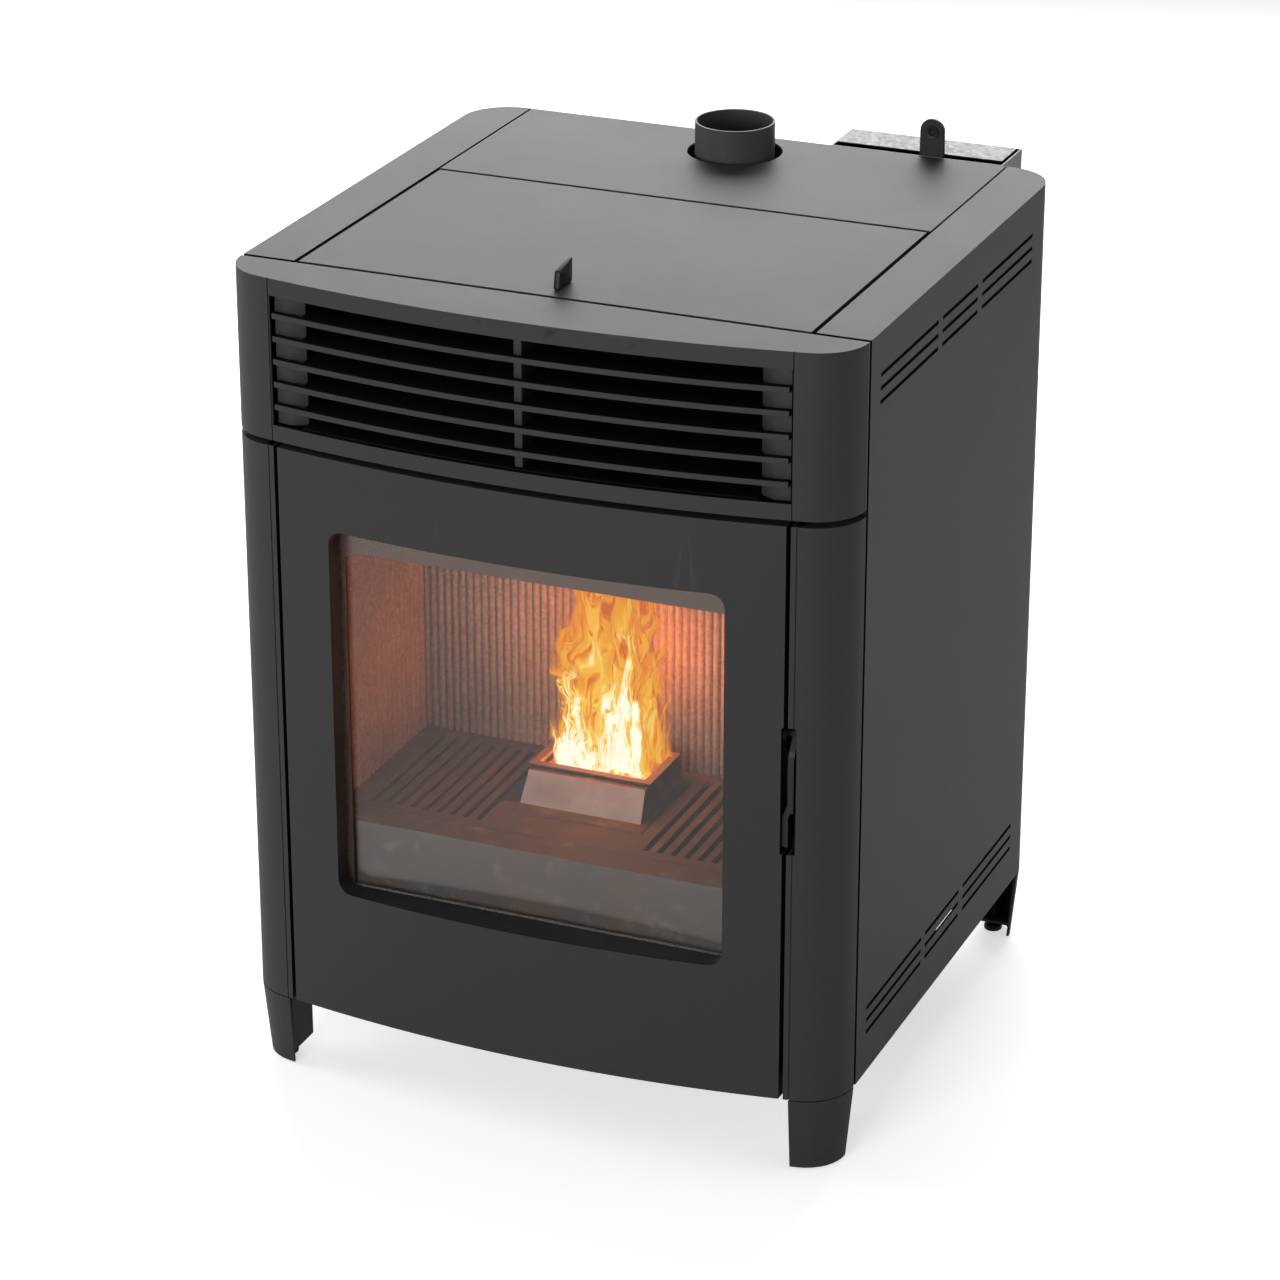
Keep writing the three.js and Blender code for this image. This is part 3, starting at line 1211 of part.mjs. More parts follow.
// ---- Assembly ----
add('base_plate', innerSteel(), basePlate());
addLegs();
const rightPanel = sidePanelRight();
add('side_panel_right', paintedSteel(), rightPanel);
add('side_panel_left', paintedSteel(), mirrored(rightPanel, 'x'));
add('corner_post_right', paintedSteel(), cornerPost(true));
add('corner_post_left', paintedSteel(), mirrored(cornerPost(false), 'x'));
add('rear_panel', innerSteel(), rearPanel());
add('rear_top_plate', paintedSteel(), rearTopPlate());
add('head_casting', paintedSteel(), headCasting());
for (let i = 0; i < louvreCount; i += 1) {
  const top = bodyHeight - topBandHeight - topLouvreDrop - i * louvrePitch;
  add(`louvre_${i + 1}`, paintedSteel(), louvre(top));
}
add('grille_centre_rib', paintedSteel(), grilleCentreRib());
add('outlet_duct', innerSteel(), outletDuct());
add('hopper_lid', paintedSteel(), hopperLid());
add('lid_handle', blackPlastic(), lidHandle());
add('lid_hinge_rod', innerSteel(), prismX(circle(rodY, rodZ, rodRadius, 16),
  -lidHalfWidth + 0.5, lidHalfWidth - 0.5));
add('lid_seal', ropeSeal(), lidSeal());
add('hopper', innerSteel(), hopper());
add('hopper_grille', innerSteel(), hopperGrille());
add('door_panel', paintedSteel(), doorPanel());
add('door_inner_frame', castIron(), doorInnerFrame());
add('door_glass', finish(0x5a4a40, 0.05, 0.0), doorGlass());
add('glass_gasket', ropeSeal(), glassGasket());
add('door_rope_seal', ropeSeal(), doorRopeSeal());
add('hinge_bracket_lower', innerSteel(), hingeBracket(hingeZ[0]));
add('hinge_bracket_upper', innerSteel(), hingeBracket(hingeZ[1]));
add('door_handle', blackPlastic(), doorHandle());
add('latch_cam', innerSteel(), latchCam());
add('firebox', castIron(), firebox());
add('back_liner', vermiculite(), backLiner());
const linerLeft = leftLiner();
add('left_liner', vermiculite(), linerLeft);
add('right_liner', vermiculite(), mirrored(linerLeft, 'x'));
add('ash_grate', castIron(), ashGrate());
add('fire_pot', castIron(), firePot());
add('ash_drawer', innerSteel(), ashDrawer());
add('igniter', innerSteel(), igniter());
add('auger_tube', innerSteel(), augerTube());
add('auger_screw', innerSteel(), augerScrew());
add('feed_motor', blackPlastic(), feedMotor());
add('exhaust_housing', castIron(), exhaustHousing());
add('exhaust_impeller', innerSteel(), exhaustImpeller());
add('flue_pipe', finish(0x3a3c40, 0.5, 0.4), fluePipe());
add('blower_housing', galvanised(), blowerHousing());
add('blower_rotor', blackPlastic(), blowerRotor());
add('air_intake', galvanised(), airIntake());
add('mains_inlet', blackPlastic(), mainsInlet());
add('power_switch', finish(0x8a1c18, 0.4, 0.0), powerSwitch());
add('connection_box', galvanised(), connectionBox());
add('wall_lug', castIron(), wallLug());
add('control_board', finish(0x1f5a34, 0.6, 0.0), controlBoard());

export default stove;
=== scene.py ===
"""Free-standing pellet stove with a bowed front, dressed over its CAD model."""
import json

import bmesh
import bpy
import numpy as np
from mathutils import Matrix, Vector

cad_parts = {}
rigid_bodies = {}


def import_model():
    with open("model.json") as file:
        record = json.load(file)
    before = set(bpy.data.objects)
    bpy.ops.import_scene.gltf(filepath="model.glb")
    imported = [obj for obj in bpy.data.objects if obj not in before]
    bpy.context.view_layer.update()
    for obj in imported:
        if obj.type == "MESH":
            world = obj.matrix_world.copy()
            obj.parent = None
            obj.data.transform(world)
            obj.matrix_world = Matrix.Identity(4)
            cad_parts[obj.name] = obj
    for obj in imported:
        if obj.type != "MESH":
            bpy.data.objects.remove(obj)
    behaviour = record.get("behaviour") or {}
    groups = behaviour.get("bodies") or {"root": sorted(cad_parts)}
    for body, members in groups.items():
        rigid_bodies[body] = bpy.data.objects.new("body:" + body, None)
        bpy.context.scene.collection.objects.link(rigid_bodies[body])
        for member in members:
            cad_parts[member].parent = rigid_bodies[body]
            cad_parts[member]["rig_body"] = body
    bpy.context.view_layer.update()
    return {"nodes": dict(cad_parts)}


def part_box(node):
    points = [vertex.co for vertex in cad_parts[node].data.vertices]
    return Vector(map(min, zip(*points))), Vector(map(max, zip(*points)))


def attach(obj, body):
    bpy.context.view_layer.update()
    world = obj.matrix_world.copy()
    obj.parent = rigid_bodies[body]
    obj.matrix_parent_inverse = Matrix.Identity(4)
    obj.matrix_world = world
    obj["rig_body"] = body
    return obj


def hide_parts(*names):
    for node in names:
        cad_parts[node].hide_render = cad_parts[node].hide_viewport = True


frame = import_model()

# ---- Casing sheets --------------------------------------------------------------
# The side panels, rear top plate, corner posts and legs are folded steel sheet under
# one satin, finely textured anthracite paint. Each is welded from its CAD node and
# keeps the narrow rounded edges that a press brake and a coat of paint leave.


def new_group(name, inputs, outputs):
    """An empty shader node group with float (f), colour (c) or vector (v) sockets."""
    kinds = {"f": "NodeSocketFloat", "c": "NodeSocketColor", "v": "NodeSocketVector"}
    tree = bpy.data.node_groups.new(name, "ShaderNodeTree")
    for key, kind, value in inputs:
        socket = tree.interface.new_socket(key, in_out="INPUT", socket_type=kinds[kind])
        socket.default_value = value
    for key, kind in outputs:
        tree.interface.new_socket(key, in_out="OUTPUT", socket_type=kinds[kind])
    return tree, tree.nodes.new("NodeGroupInput"), tree.nodes.new("NodeGroupOutput")


def node(tree, kind, **values):
    """A node whose inputs, or else settings, are set by name."""
    made = tree.nodes.new(kind)
    for key, value in values.items():
        key = key.replace("_", " ") if key[0].isupper() else key
        if key in made.inputs:
            made.inputs[key].default_value = value
        else:
            setattr(made, key, value)
    return made


def ranged(tree, source, low, high, to_low, to_high, smooth=False):
    """A value carried from low..high onto to_low..to_high and held at the ends."""
    step = node(tree, "ShaderNodeMapRange", From_Min=low, From_Max=high, To_Min=to_low,
                To_Max=to_high)
    step.interpolation_type = "SMOOTHSTEP" if smooth else "LINEAR"
    tree.links.new(source, step.inputs["Value"])
    return step.outputs["Result"]


def sums(tree, operation, first, second):
    """Two values, or a value and a number, joined by one arithmetic step."""
    step = node(tree, "ShaderNodeMath", operation=operation)
    for slot, value in zip(step.inputs, (first, second)):
        if isinstance(value, (int, float)):
            slot.default_value = value
        else:
            tree.links.new(value, slot)
    return step.outputs[0]


def scaled(tree, color, factor):
    """A colour times a value."""
    step = node(tree, "ShaderNodeVectorMath", operation="SCALE")
    tree.links.new(color, step.inputs[0])
    tree.links.new(factor, step.inputs["Scale"])
    return step.outputs[0]


def finish_group(name, color, roughness, grain):
    """A group that takes a colour, roughness and grain and gives colour, roughness, height."""
    return new_group(name, [("Color", "c", (*color, 1)), ("Roughness", "f", roughness),
                            ("Grain", "f", grain)],
                     [("Color", "c"), ("Roughness", "f"), ("Height", "f")])


def make_powder_coat():
    """Sprayed and baked paint: grain near 1 mm, faint clouds near 12 cm, a little dust."""
    tree, given, out = finish_group("powder_coat", (0.03, 0.03, 0.03), 0.5, 900.0)
    place = node(tree, "ShaderNodeTexCoord").outputs["Object"]
    grain = node(tree, "ShaderNodeTexNoise", Detail=2.0)
    cloud = node(tree, "ShaderNodeTexNoise", Scale=8.0, Detail=3.0)
    dust = node(tree, "ShaderNodeTexNoise", Scale=55.0, Detail=4.0)
    for texture in (grain, cloud, dust):
        tree.links.new(place, texture.inputs["Vector"])
    tree.links.new(given.outputs["Grain"], grain.inputs["Scale"])
    clouds = ranged(tree, cloud.outputs["Fac"], 0.3, 0.7, 0.985, 1.015)
    specks = ranged(tree, grain.outputs["Fac"], 0.3, 0.7, 0.9, 1.1)
    settled = ranged(tree, dust.outputs["Fac"], 0.45, 0.75, 0.995, 1.02)
    shade = sums(tree, "MULTIPLY", sums(tree, "MULTIPLY", clouds, specks), settled)
    rough = sums(tree, "MULTIPLY", given.outputs["Roughness"],
                 sums(tree, "MULTIPLY", clouds, settled))
    tree.links.new(scaled(tree, given.outputs["Color"], shade), out.inputs["Color"])
    tree.links.new(rough, out.inputs["Roughness"])
    tree.links.new(grain.outputs["Fac"], out.inputs["Height"])
    return tree


powder_coat = make_powder_coat()


def new_material(name):
    """A node material with its tree and its Principled shader."""
    material = bpy.data.materials.new(name)
    material.use_nodes = True
    return material, material.node_tree, material.node_tree.nodes["Principled BSDF"]


def raised(tree, shader, height, distance):
    """Turn a height into the shader's bump, the distance in metres being its full depth."""
    relief = node(tree, "ShaderNodeBump", Strength=1.0, Distance=distance)
    tree.links.new(height, relief.inputs["Height"])
    tree.links.new(relief.outputs["Normal"], shader.inputs["Normal"])


def finish(name, effect, color, roughness, grain, bump, metallic=0.0, specular=0.5):
    """A material whose colour, roughness and bump come from one effect group."""
    material, tree, shader = new_material(name)
    group = node(tree, "ShaderNodeGroup", node_tree=effect)
    group.inputs["Color"].default_value = (*color, 1)
    group.inputs["Roughness"].default_value = roughness
    group.inputs["Grain"].default_value = grain
    shader.inputs["Metallic"].default_value = metallic
    shader.inputs["Specular IOR Level"].default_value = specular
    tree.links.new(group.outputs["Color"], shader.inputs["Base Color"])
    tree.links.new(group.outputs["Roughness"], shader.inputs["Roughness"])
    raised(tree, shader, group.outputs["Height"], bump)
    return material


def placed(name, mesh, body, *nodes):
    """The finished piece of a mesh, riding on its body in place of its CAD nodes."""
    piece = bpy.data.objects.new(name, mesh)
    bpy.context.scene.collection.objects.link(piece)
    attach(piece, body)
    if nodes:
        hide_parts(*nodes)
    return piece


def dressed(part, material, width=0.0006, segments=2):
    """A welded copy of a CAD node with its coplanar faces joined and its edges rounded."""
    source = frame["nodes"][part]
    mesh = bpy.data.meshes.new(part + "_finished")
    work = bmesh.new()
    work.from_mesh(source.data)
    bmesh.ops.remove_doubles(work, verts=work.verts, dist=0.00001)
    bmesh.ops.dissolve_limit(work, angle_limit=np.radians(0.2), verts=work.verts,
                             edges=work.edges)
    work.to_mesh(mesh)
    work.free()
    mesh.materials.clear()
    mesh.materials.append(material)
    mesh.polygons.foreach_set("material_index", np.zeros(len(mesh.polygons), np.int32))
    mesh.polygons.foreach_set("use_smooth", np.ones(len(mesh.polygons), bool))
    mesh.set_sharp_from_angle(angle=np.radians(38))
    piece = placed(part + "_finished", mesh, source["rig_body"], part)
    if width:
        bevel = piece.modifiers.new("edges", "BEVEL")
        bevel.width = width
        bevel.segments = segments
        bevel.limit_method = "ANGLE"
        bevel.angle_limit = np.radians(38)
        shading = piece.modifiers.new("flat faces", "WEIGHTED_NORMAL")
        shading.keep_sharp = True
    return piece


def repaint(piece, material, chosen):
    """Give a second finish to the faces that chosen(centres, normals) picks, in metres."""
    faces = piece.data.polygons
    centres, normals = np.empty(len(faces) * 3), np.empty(len(faces) * 3)
    faces.foreach_get("center", centres)
    faces.foreach_get("normal", normals)
    picked = chosen(centres.reshape(-1, 3), normals.reshape(-1, 3))
    piece.data.materials.append(material)
    faces.foreach_set("material_index", picked.astype(np.int32))


def trimmed_front(piece, edge, trim):
    """Set every point in front of an edge back by the trim, to widen the seam there.

    This departs from the CAD node on purpose: the photo's seams look wider than its gaps.
    """
    points = np.empty(len(piece.data.vertices) * 3)
    piece.data.vertices.foreach_get("co", points)
    points = points.reshape(-1, 3)
    points[:, 1] += np.where(points[:, 1] < edge, trim, 0)
    piece.data.vertices.foreach_set("co", points.ravel())


SEAM_TRIM = 0.0022
UPPER_SLOTS, LOWER_SLOTS, SLOT_REACH = 0.771, 0.134, 0.0165
anthracite = finish("anthracite_paint", powder_coat, (0.034, 0.034, 0.0345), 0.56, 900.0,
                    0.00003, specular=0.28)
# A near-black used as painted shade on seams, slots, recesses and hidden faces.
painted_shade_black = finish("painted_shade_black", powder_coat, (0.005, 0.005, 0.005), 0.8, 700.0, 0.00004,
                      specular=0.1)
for part in ("rear_top_plate", "leg_front_left", "leg_front_right", "leg_rear_left",
             "leg_rear_right"):
    dressed(part, anthracite, 0.0007)
for side in ("left", "right"):
    panel = dressed(f"side_panel_{side}", anthracite, 0.0006)
    # The panel's inward faces, front edges, inner ledges and slot walls take the near-black as
    # painted shade.
    repaint(panel, painted_shade_black,
            lambda at, way: (at[:, 0] * way[:, 0] < -0.1) | (way[:, 1] < -0.5) |
            ((np.abs(way[:, 2]) > 0.5) & (np.abs(at[:, 0]) < 0.3) & (at[:, 2] < 0.8235)) |
            ((np.abs(at[:, 0]) > 0.3085) & (np.abs(way[:, 0]) < 0.5) &
             ((np.abs(at[:, 2] - LOWER_SLOTS) < SLOT_REACH) |
              (np.abs(at[:, 2] - UPPER_SLOTS) < SLOT_REACH))))
    trimmed_front(panel, -0.2605, SEAM_TRIM)
    post = dressed(f"corner_post_{side}", anthracite, 0.0007)
    # The post's inward and rear faces take the near-black as painted shade.
    repaint(post, painted_shade_black,
            lambda at, way: (at[:, 0] * way[:, 0] < -0.1) | (way[:, 1] > 0.5))

# ---- Shade sheets in the casing's seams and slots -------------------------------
# Each side has a black sheet beside the lid, one beside the outlet duct, one behind the
# upper slots and one under the base. They are painted shade and are guesses: dark sheets
# that darken seams and slots, and the solids have none of them.


def carried(outline, start, stop, axis):
    """An outline in the two other axes carried straight from start to stop, ends closed.

    The end rings are drawn in to 0.9 of their size over the last half millimetre.
    """
    others = [k for k in range(3) if k != axis]
    middle = outline.mean(0)
    rings = np.empty((4, len(outline), 3))
    for ring, (spot, size) in zip(rings, ((start, 0.9), (start + 0.5, 1), (stop - 0.5, 1),
                                          (stop, 0.9))):
        ring[:, axis] = spot
        ring[:, others] = middle + (outline - middle) * size
    return rings


def rounded(corners, radius, steps=4):
    """A closed outline whose corners are each replaced by an arc of one radius."""
    corners = np.array(corners, float)
    before = np.roll(corners, 1, 0) - corners
    after = np.roll(corners, -1, 0) - corners
    before /= np.linalg.norm(before, axis=1)[:, None]
    after /= np.linalg.norm(after, axis=1)[:, None]
    share = np.linspace(0, 1, steps)[None, :, None]
    start = (corners + before * radius)[:, None]
    stop = (corners + after * radius)[:, None]
    middle = corners[:, None]
    curve = (1 - share) ** 2 * start + 2 * share * (1 - share) * middle + share ** 2 * stop
    return curve.reshape(-1, 2)


def lofted(sections):
    """Rings of equal length joined into one skin with both ends closed at their middles."""
    sections = np.array(sections, float)
    first = np.broadcast_to(sections[0].mean(0), sections[0].shape)
    last = np.broadcast_to(sections[-1].mean(0), sections[-1].shape)
    return np.concatenate([first[None], sections, last[None]])


def quads_of(index):
    """The four-cornered faces between neighbours of a table of point numbers."""
    return np.stack([index[:-1, :-1], index[:-1, 1:], index[1:, 1:], index[1:, :-1]],
                    -1).reshape(-1, 4)


def shell_mesh(name, grids, material, smooth_angle=40):
    """One mesh from (rows, columns, 3) grids; each grid says if it closes on itself.

    A grid is (points, closed_rows, closed_columns). Neighbouring points make the faces.
    """
    points, faces, offset = [], [], 0
    for grid, around_rows, around_columns in grids:
        rows, columns = grid.shape[:2]
        index = np.arange(rows * columns).reshape(rows, columns) + offset
        if around_rows:
            index = np.vstack([index, index[:1]])
        if around_columns:
            index = np.hstack([index, index[:, :1]])
        faces.append(quads_of(index))
        points.append(grid.reshape(-1, 3))
        offset += rows * columns
    mesh = bpy.data.meshes.new(name)
    mesh.from_pydata(np.vstack(points), [], np.vstack(faces).tolist())
    work = bmesh.new()
    work.from_mesh(mesh)
    bmesh.ops.remove_doubles(work, verts=work.verts, dist=0.000002)
    bmesh.ops.dissolve_degenerate(work, dist=0.000001, edges=work.edges)
    bmesh.ops.recalc_face_normals(work, faces=work.faces)
    work.to_mesh(mesh)
    work.free()
    mesh.materials.append(material)
    mesh.polygons.foreach_set("use_smooth", np.ones(len(mesh.polygons), bool))
    mesh.set_sharp_from_angle(angle=np.radians(smooth_angle))
    return mesh


def rectangle(low, high, radius):
    """A rounded rectangle between two corner points."""
    return rounded([(low[0], low[1]), (high[0], low[1]), (high[0], high[1]),
                    (low[0], high[1])], radius)


for side, sign in (("left", -1), ("right", 1)):
    for name, x, half, low, high, radius, start, stop, axis in (
            ("lid_seam_shade", 257.8, 0.6, 806, 822.6, 0.4, -258.0, 274.0, 1),
            ("duct_seam_shade", 256.5, 1.2, -298, -264, 0.8, 684.0, 806.5, 2),
            ("upper_slot_shade", 308.3, 0.5, 745, 797, 0.4, -238.0, 206.0, 1)):
        outline = rectangle((sign * x - half, low), (sign * x + half, high), radius)
        strip = lofted(carried(outline, start, stop, axis)) / 1000
        placed(f"{name}_{side}", shell_mesh(f"{name}_{side}", [(strip, False, True)],
                                            painted_shade_black), "stove")
    outer = rectangle(*np.sort([(sign * 243, -228), (sign * 300, 196)], 0), 4)
    inner = rectangle(*np.sort([(sign * 274.5, 60), (sign * 283.5, 116.5)], 0), 4)
    frame_ring = np.stack([np.column_stack([line, np.full(len(line), height)])
                           for line, height in ((outer, 81), (outer, 82.2), (inner, 82.2),
                                                (inner, 81))])
    placed(f"base_slot_shade_{side}", shell_mesh(f"base_slot_shade_{side}", [
        (frame_ring / 1000, True, True)], painted_shade_black), "stove")

# ---- Head with the warm-air outlet ----------------------------------------------
# One casting bows across the top front, with five thin louvre bars and a centre rib
# let into it. Behind them stands the sheet duct that the warm air comes out of; its black and the
# black on the hidden faces of casting and bars are painted shade.
casting = dressed("head_casting", anthracite, 0.0008)
# The casting's rear faces, the underside of its top and its lower ledges take the near-black as
# painted shade.
repaint(casting, painted_shade_black,
        lambda at, way: (way[:, 1] > 0.3) | ((way[:, 2] < -0.5) & (at[:, 2] > 0.69)) |
        ((way[:, 2] > 0.5) & (at[:, 2] < 0.82)))
for number in range(1, 6):
    bar = dressed(f"louvre_{number}", anthracite, 0.0006)
    # All but the front face of each bar take the near-black as painted shade.
    repaint(bar, painted_shade_black, lambda at, way: way[:, 1] > -0.6)
dressed("grille_centre_rib", anthracite, 0.0007)
# The duct is near-black as painted shade; its end cheeks facing forward take the casing's paint.
duct = dressed("outlet_duct", painted_shade_black, 0.0003)
repaint(duct, anthracite, lambda at, way: (np.abs(at[:, 0]) > 0.2235) & (way[:, 1] < -0.3))

# ---- Levelling feet -------------------------------------------------------------
# A moulded foot is pressed on an M8 stud that screws up into the leg. The foot is turned
# with a rounded rim, and the stud has a rolled thread.
FULL_TURN = 2 * np.pi


def turned(profile, steps=48):
    """A closed profile of (radius, height) points in mm carried once round the Z axis.

    x = r cos t, y = r sin t, z = h, for t from 0 to a full turn.
    """
    radius, height = np.array(profile, float).T
    turn = np.arange(steps) * FULL_TURN / steps
    return np.stack([np.outer(np.cos(turn), radius), np.outer(np.sin(turn), radius),
                     np.broadcast_to(height, (steps, len(height)))], -1) / 1000


moulded_black = finish("moulded_black", powder_coat, (0.014, 0.014, 0.0145), 0.46, 1400.0,
                       0.000025, specular=0.35)
FOOT_PROFILE = [(0, 0.4), (7.0, 0.4), (8.6, 0), (9.3, 0.8), (9.5, 2.2), (9.3, 4.6),
                (8.4, 6.0), (6.6, 7.2), (5.6, 8.0), (4.2, 8.0), (0, 8.0)]
thread = np.arange(9, 41.6, 0.35)
STUD_PROFILE = np.vstack([[(0, 7.5), (3.9, 7.5)],
                          np.stack([3.72 + 0.26 * np.cos(thread * FULL_TURN / 1.25), thread], 1),
                          [(3.2, 42.0), (0, 42.0)]])
foot_mesh_parts = [turned(FOOT_PROFILE), turned(STUD_PROFILE, 20)]
for side, x in (("right", 0.281), ("left", -0.281)):
    for end in ("front", "rear"):
        low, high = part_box(f"levelling_foot_{end}_{side}")
        centre = np.array([(low[0] + high[0]) / 2, (low[1] + high[1]) / 2, 0.0])
        mesh = shell_mesh(f"foot_{end}_{side}",
                          [(part + centre, True, False) for part in foot_mesh_parts],
                          moulded_black)
        placed(f"foot_{end}_{side}_turned", mesh, f"foot_{end}_{side}",
               f"levelling_foot_{end}_{side}")

# ---- Hopper lid -----------------------------------------------------------------
# The lid is a flat painted tray turned down at its rims, hinged on a rod at the back.
# A thin moulded tab stands near its front edge to lift it by.
trimmed_front(dressed("hopper_lid", anthracite, 0.0007), -0.2595, SEAM_TRIM)


def make_tab():
    """Across x: an outline in the Y-Z plane that shrinks at both faces by a rounded edge.

    The outline is the tab seen from the side; step t moves it to x = 3 sin t and pulls it
    in by 0.9 (1 - cos t) millimetres.
    """
    low, high = (np.array(corner) * 1000 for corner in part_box("lid_handle"))
    outline = rounded([(low[1] + 1, low[2]), (high[1] - 1, low[2]), (high[1], high[2]),
                       (low[1] + 4, high[2] - 6)], 1.6, 5)
    middle = outline.mean(0)
    reach = np.linalg.norm(outline - middle, axis=1, keepdims=True)
    rings = []
    for t in np.linspace(-1, 1, 9) * np.pi / 2:
        pulled = middle + (outline - middle) * (1 - 0.9 * (1 - np.cos(t)) / reach)
        pulled[:, 1] = np.maximum(pulled[:, 1], low[2])
        rings.append(np.column_stack([np.full(len(outline), 3 * np.sin(t)), pulled]))
    return lofted(rings) / 1000


placed("lid_tab", shell_mesh("lid_tab", [(make_tab(), False, True)], moulded_black, 60),
       "lid", "lid_handle")

# ---- Bare metal inside ----------------------------------------------------------
# Folded mild steel, welded and left bare, is used for the hopper, its grille, the hinge
# rod and the parts of the feed. It has a rolled grain with oil stains and bright edges.


def make_rolled_steel():
    """Mill finish: streaks along the sheet, stains 4 cm wide and fine pits."""
    tree, given, out = finish_group("rolled_steel", (0.1, 0.1, 0.1), 0.4, 400.0)
    place = node(tree, "ShaderNodeTexCoord").outputs["Object"]
    drawn = node(tree, "ShaderNodeMapping", Scale=(1.0, 0.06, 1.0))
    tree.links.new(place, drawn.inputs["Vector"])
    streak = node(tree, "ShaderNodeTexNoise", Detail=3.0)
    tree.links.new(drawn.outputs["Vector"], streak.inputs["Vector"])
    tree.links.new(given.outputs["Grain"], streak.inputs["Scale"])
    stain = node(tree, "ShaderNodeTexNoise", Scale=26.0, Detail=5.0, Roughness=0.65)
    tree.links.new(place, stain.inputs["Vector"])
    pit = node(tree, "ShaderNodeTexVoronoi", Scale=700.0)
    tree.links.new(place, pit.inputs["Vector"])
    stains = ranged(tree, stain.outputs["Fac"], 0.35, 0.7, 1.12, 0.72)
    streaks = ranged(tree, streak.outputs["Fac"], 0.3, 0.7, 0.88, 1.12)
    tree.links.new(scaled(tree, given.outputs["Color"], sums(tree, "MULTIPLY", stains, streaks)),
                   out.inputs["Color"])
    wet = ranged(tree, stain.outputs["Fac"], 0.35, 0.7, 0.85, 1.35)
    tree.links.new(sums(tree, "MULTIPLY", given.outputs["Roughness"], wet),
                   out.inputs["Roughness"])
    tree.links.new(sums(tree, "ADD", streak.outputs["Fac"],
                        ranged(tree, pit.outputs["Distance"], 0.0, 0.35, -0.6, 0.0)),
                   out.inputs["Height"])
    return tree


rolled_steel = make_rolled_steel()
bare_steel = finish("bare_steel", rolled_steel, (0.16, 0.155, 0.15), 0.42, 260.0, 0.00003, 0.85)
dark_steel = finish("blued_steel", rolled_steel, (0.045, 0.044, 0.044), 0.5, 260.0, 0.00003, 0.5)
store = dressed("hopper", bare_steel, 0.0004)
# The hopper's top rim under the lid's seams takes the near-black as painted shade.
repaint(store, painted_shade_black,
        lambda at, way: (at[:, 2] > 0.79) & ((np.abs(at[:, 0]) > 0.243) | (at[:, 1] < -0.238)))
dressed("hopper_grille", dark_steel, 0.0005)
dressed("lid_hinge_rod", bare_steel, 0.0)
dressed("base_plate", dark_steel, 0.0004)

# ---- Door -----------------------------------------------------------------------
# The door is a bowed steel skin with a deep reveal round the glass, and a flat
# frame behind that clamps it. Skin and reveal are one pressing under one paint; the reveal is
# near-black as painted shade.
door_skin = dressed("door_panel", anthracite, 0.0009, 3)
reveal_shade_black = finish("reveal_shade_black", powder_coat, (0.009, 0.009, 0.0095), 0.5, 900.0, 0.00003,
                      specular=0.35)
WINDOW_MIDDLE, WINDOW_HALF_WIDTH, WINDOW_HALF_HEIGHT = 0.4, 0.2025, 0.1915
# The reveal's walls and the door's back and outer edges take the near-black as painted shade.
repaint(door_skin, reveal_shade_black,
        lambda at, way: (way[:, 1] > 0.5) | (at[:, 0] * way[:, 0] > 0.12) |
        ((np.abs(at[:, 0]) < WINDOW_HALF_WIDTH) &
         (np.abs(at[:, 2] - WINDOW_MIDDLE) < WINDOW_HALF_HEIGHT) &
         (np.abs(way[:, 1]) < 0.5)))
frame_brown = finish("heat_browned_steel", powder_coat, (0.065, 0.034, 0.025), 0.55, 500.0,
                     0.00004)
# The frame is near-black as painted shade, its front faces heat-browned steel.
repaint(dressed("door_inner_frame", reveal_shade_black, 0.0006), frame_brown,
        lambda at, way: (way[:, 1] < -0.5) & (np.abs(at[:, 0]) < 0.2))

# ---- Door glass and rope --------------------------------------------------------
# A 4 mm ceramic pane lies between a flat gasket and the frame. Both the gasket and the
# fat seal round the frame are knitted glass rope, grey-white once and now smoked.


def make_pane():
    """Clear ceramic glass with faint wiping marks in its gloss."""
    material, tree, shader = new_material("ceramic_glass")
    shader.inputs["IOR"].default_value = 1.46
    shader.inputs["Transmission Weight"].default_value = 1.0
    place = node(tree, "ShaderNodeTexCoord").outputs["Object"]
    haze = node(tree, "ShaderNodeTexNoise", Scale=9.0, Detail=4.0)
    tree.links.new(place, haze.inputs["Vector"])
    tree.links.new(ranged(tree, haze.outputs["Fac"], 0.4, 0.75, 0.0, 0.035),
                   shader.inputs["Roughness"])
    shader.inputs["Base Color"].default_value = (0.94, 0.91, 0.89, 1)
    return material


pane = dressed("door_glass", make_pane(), 0.0005)
pane.visible_shadow = False


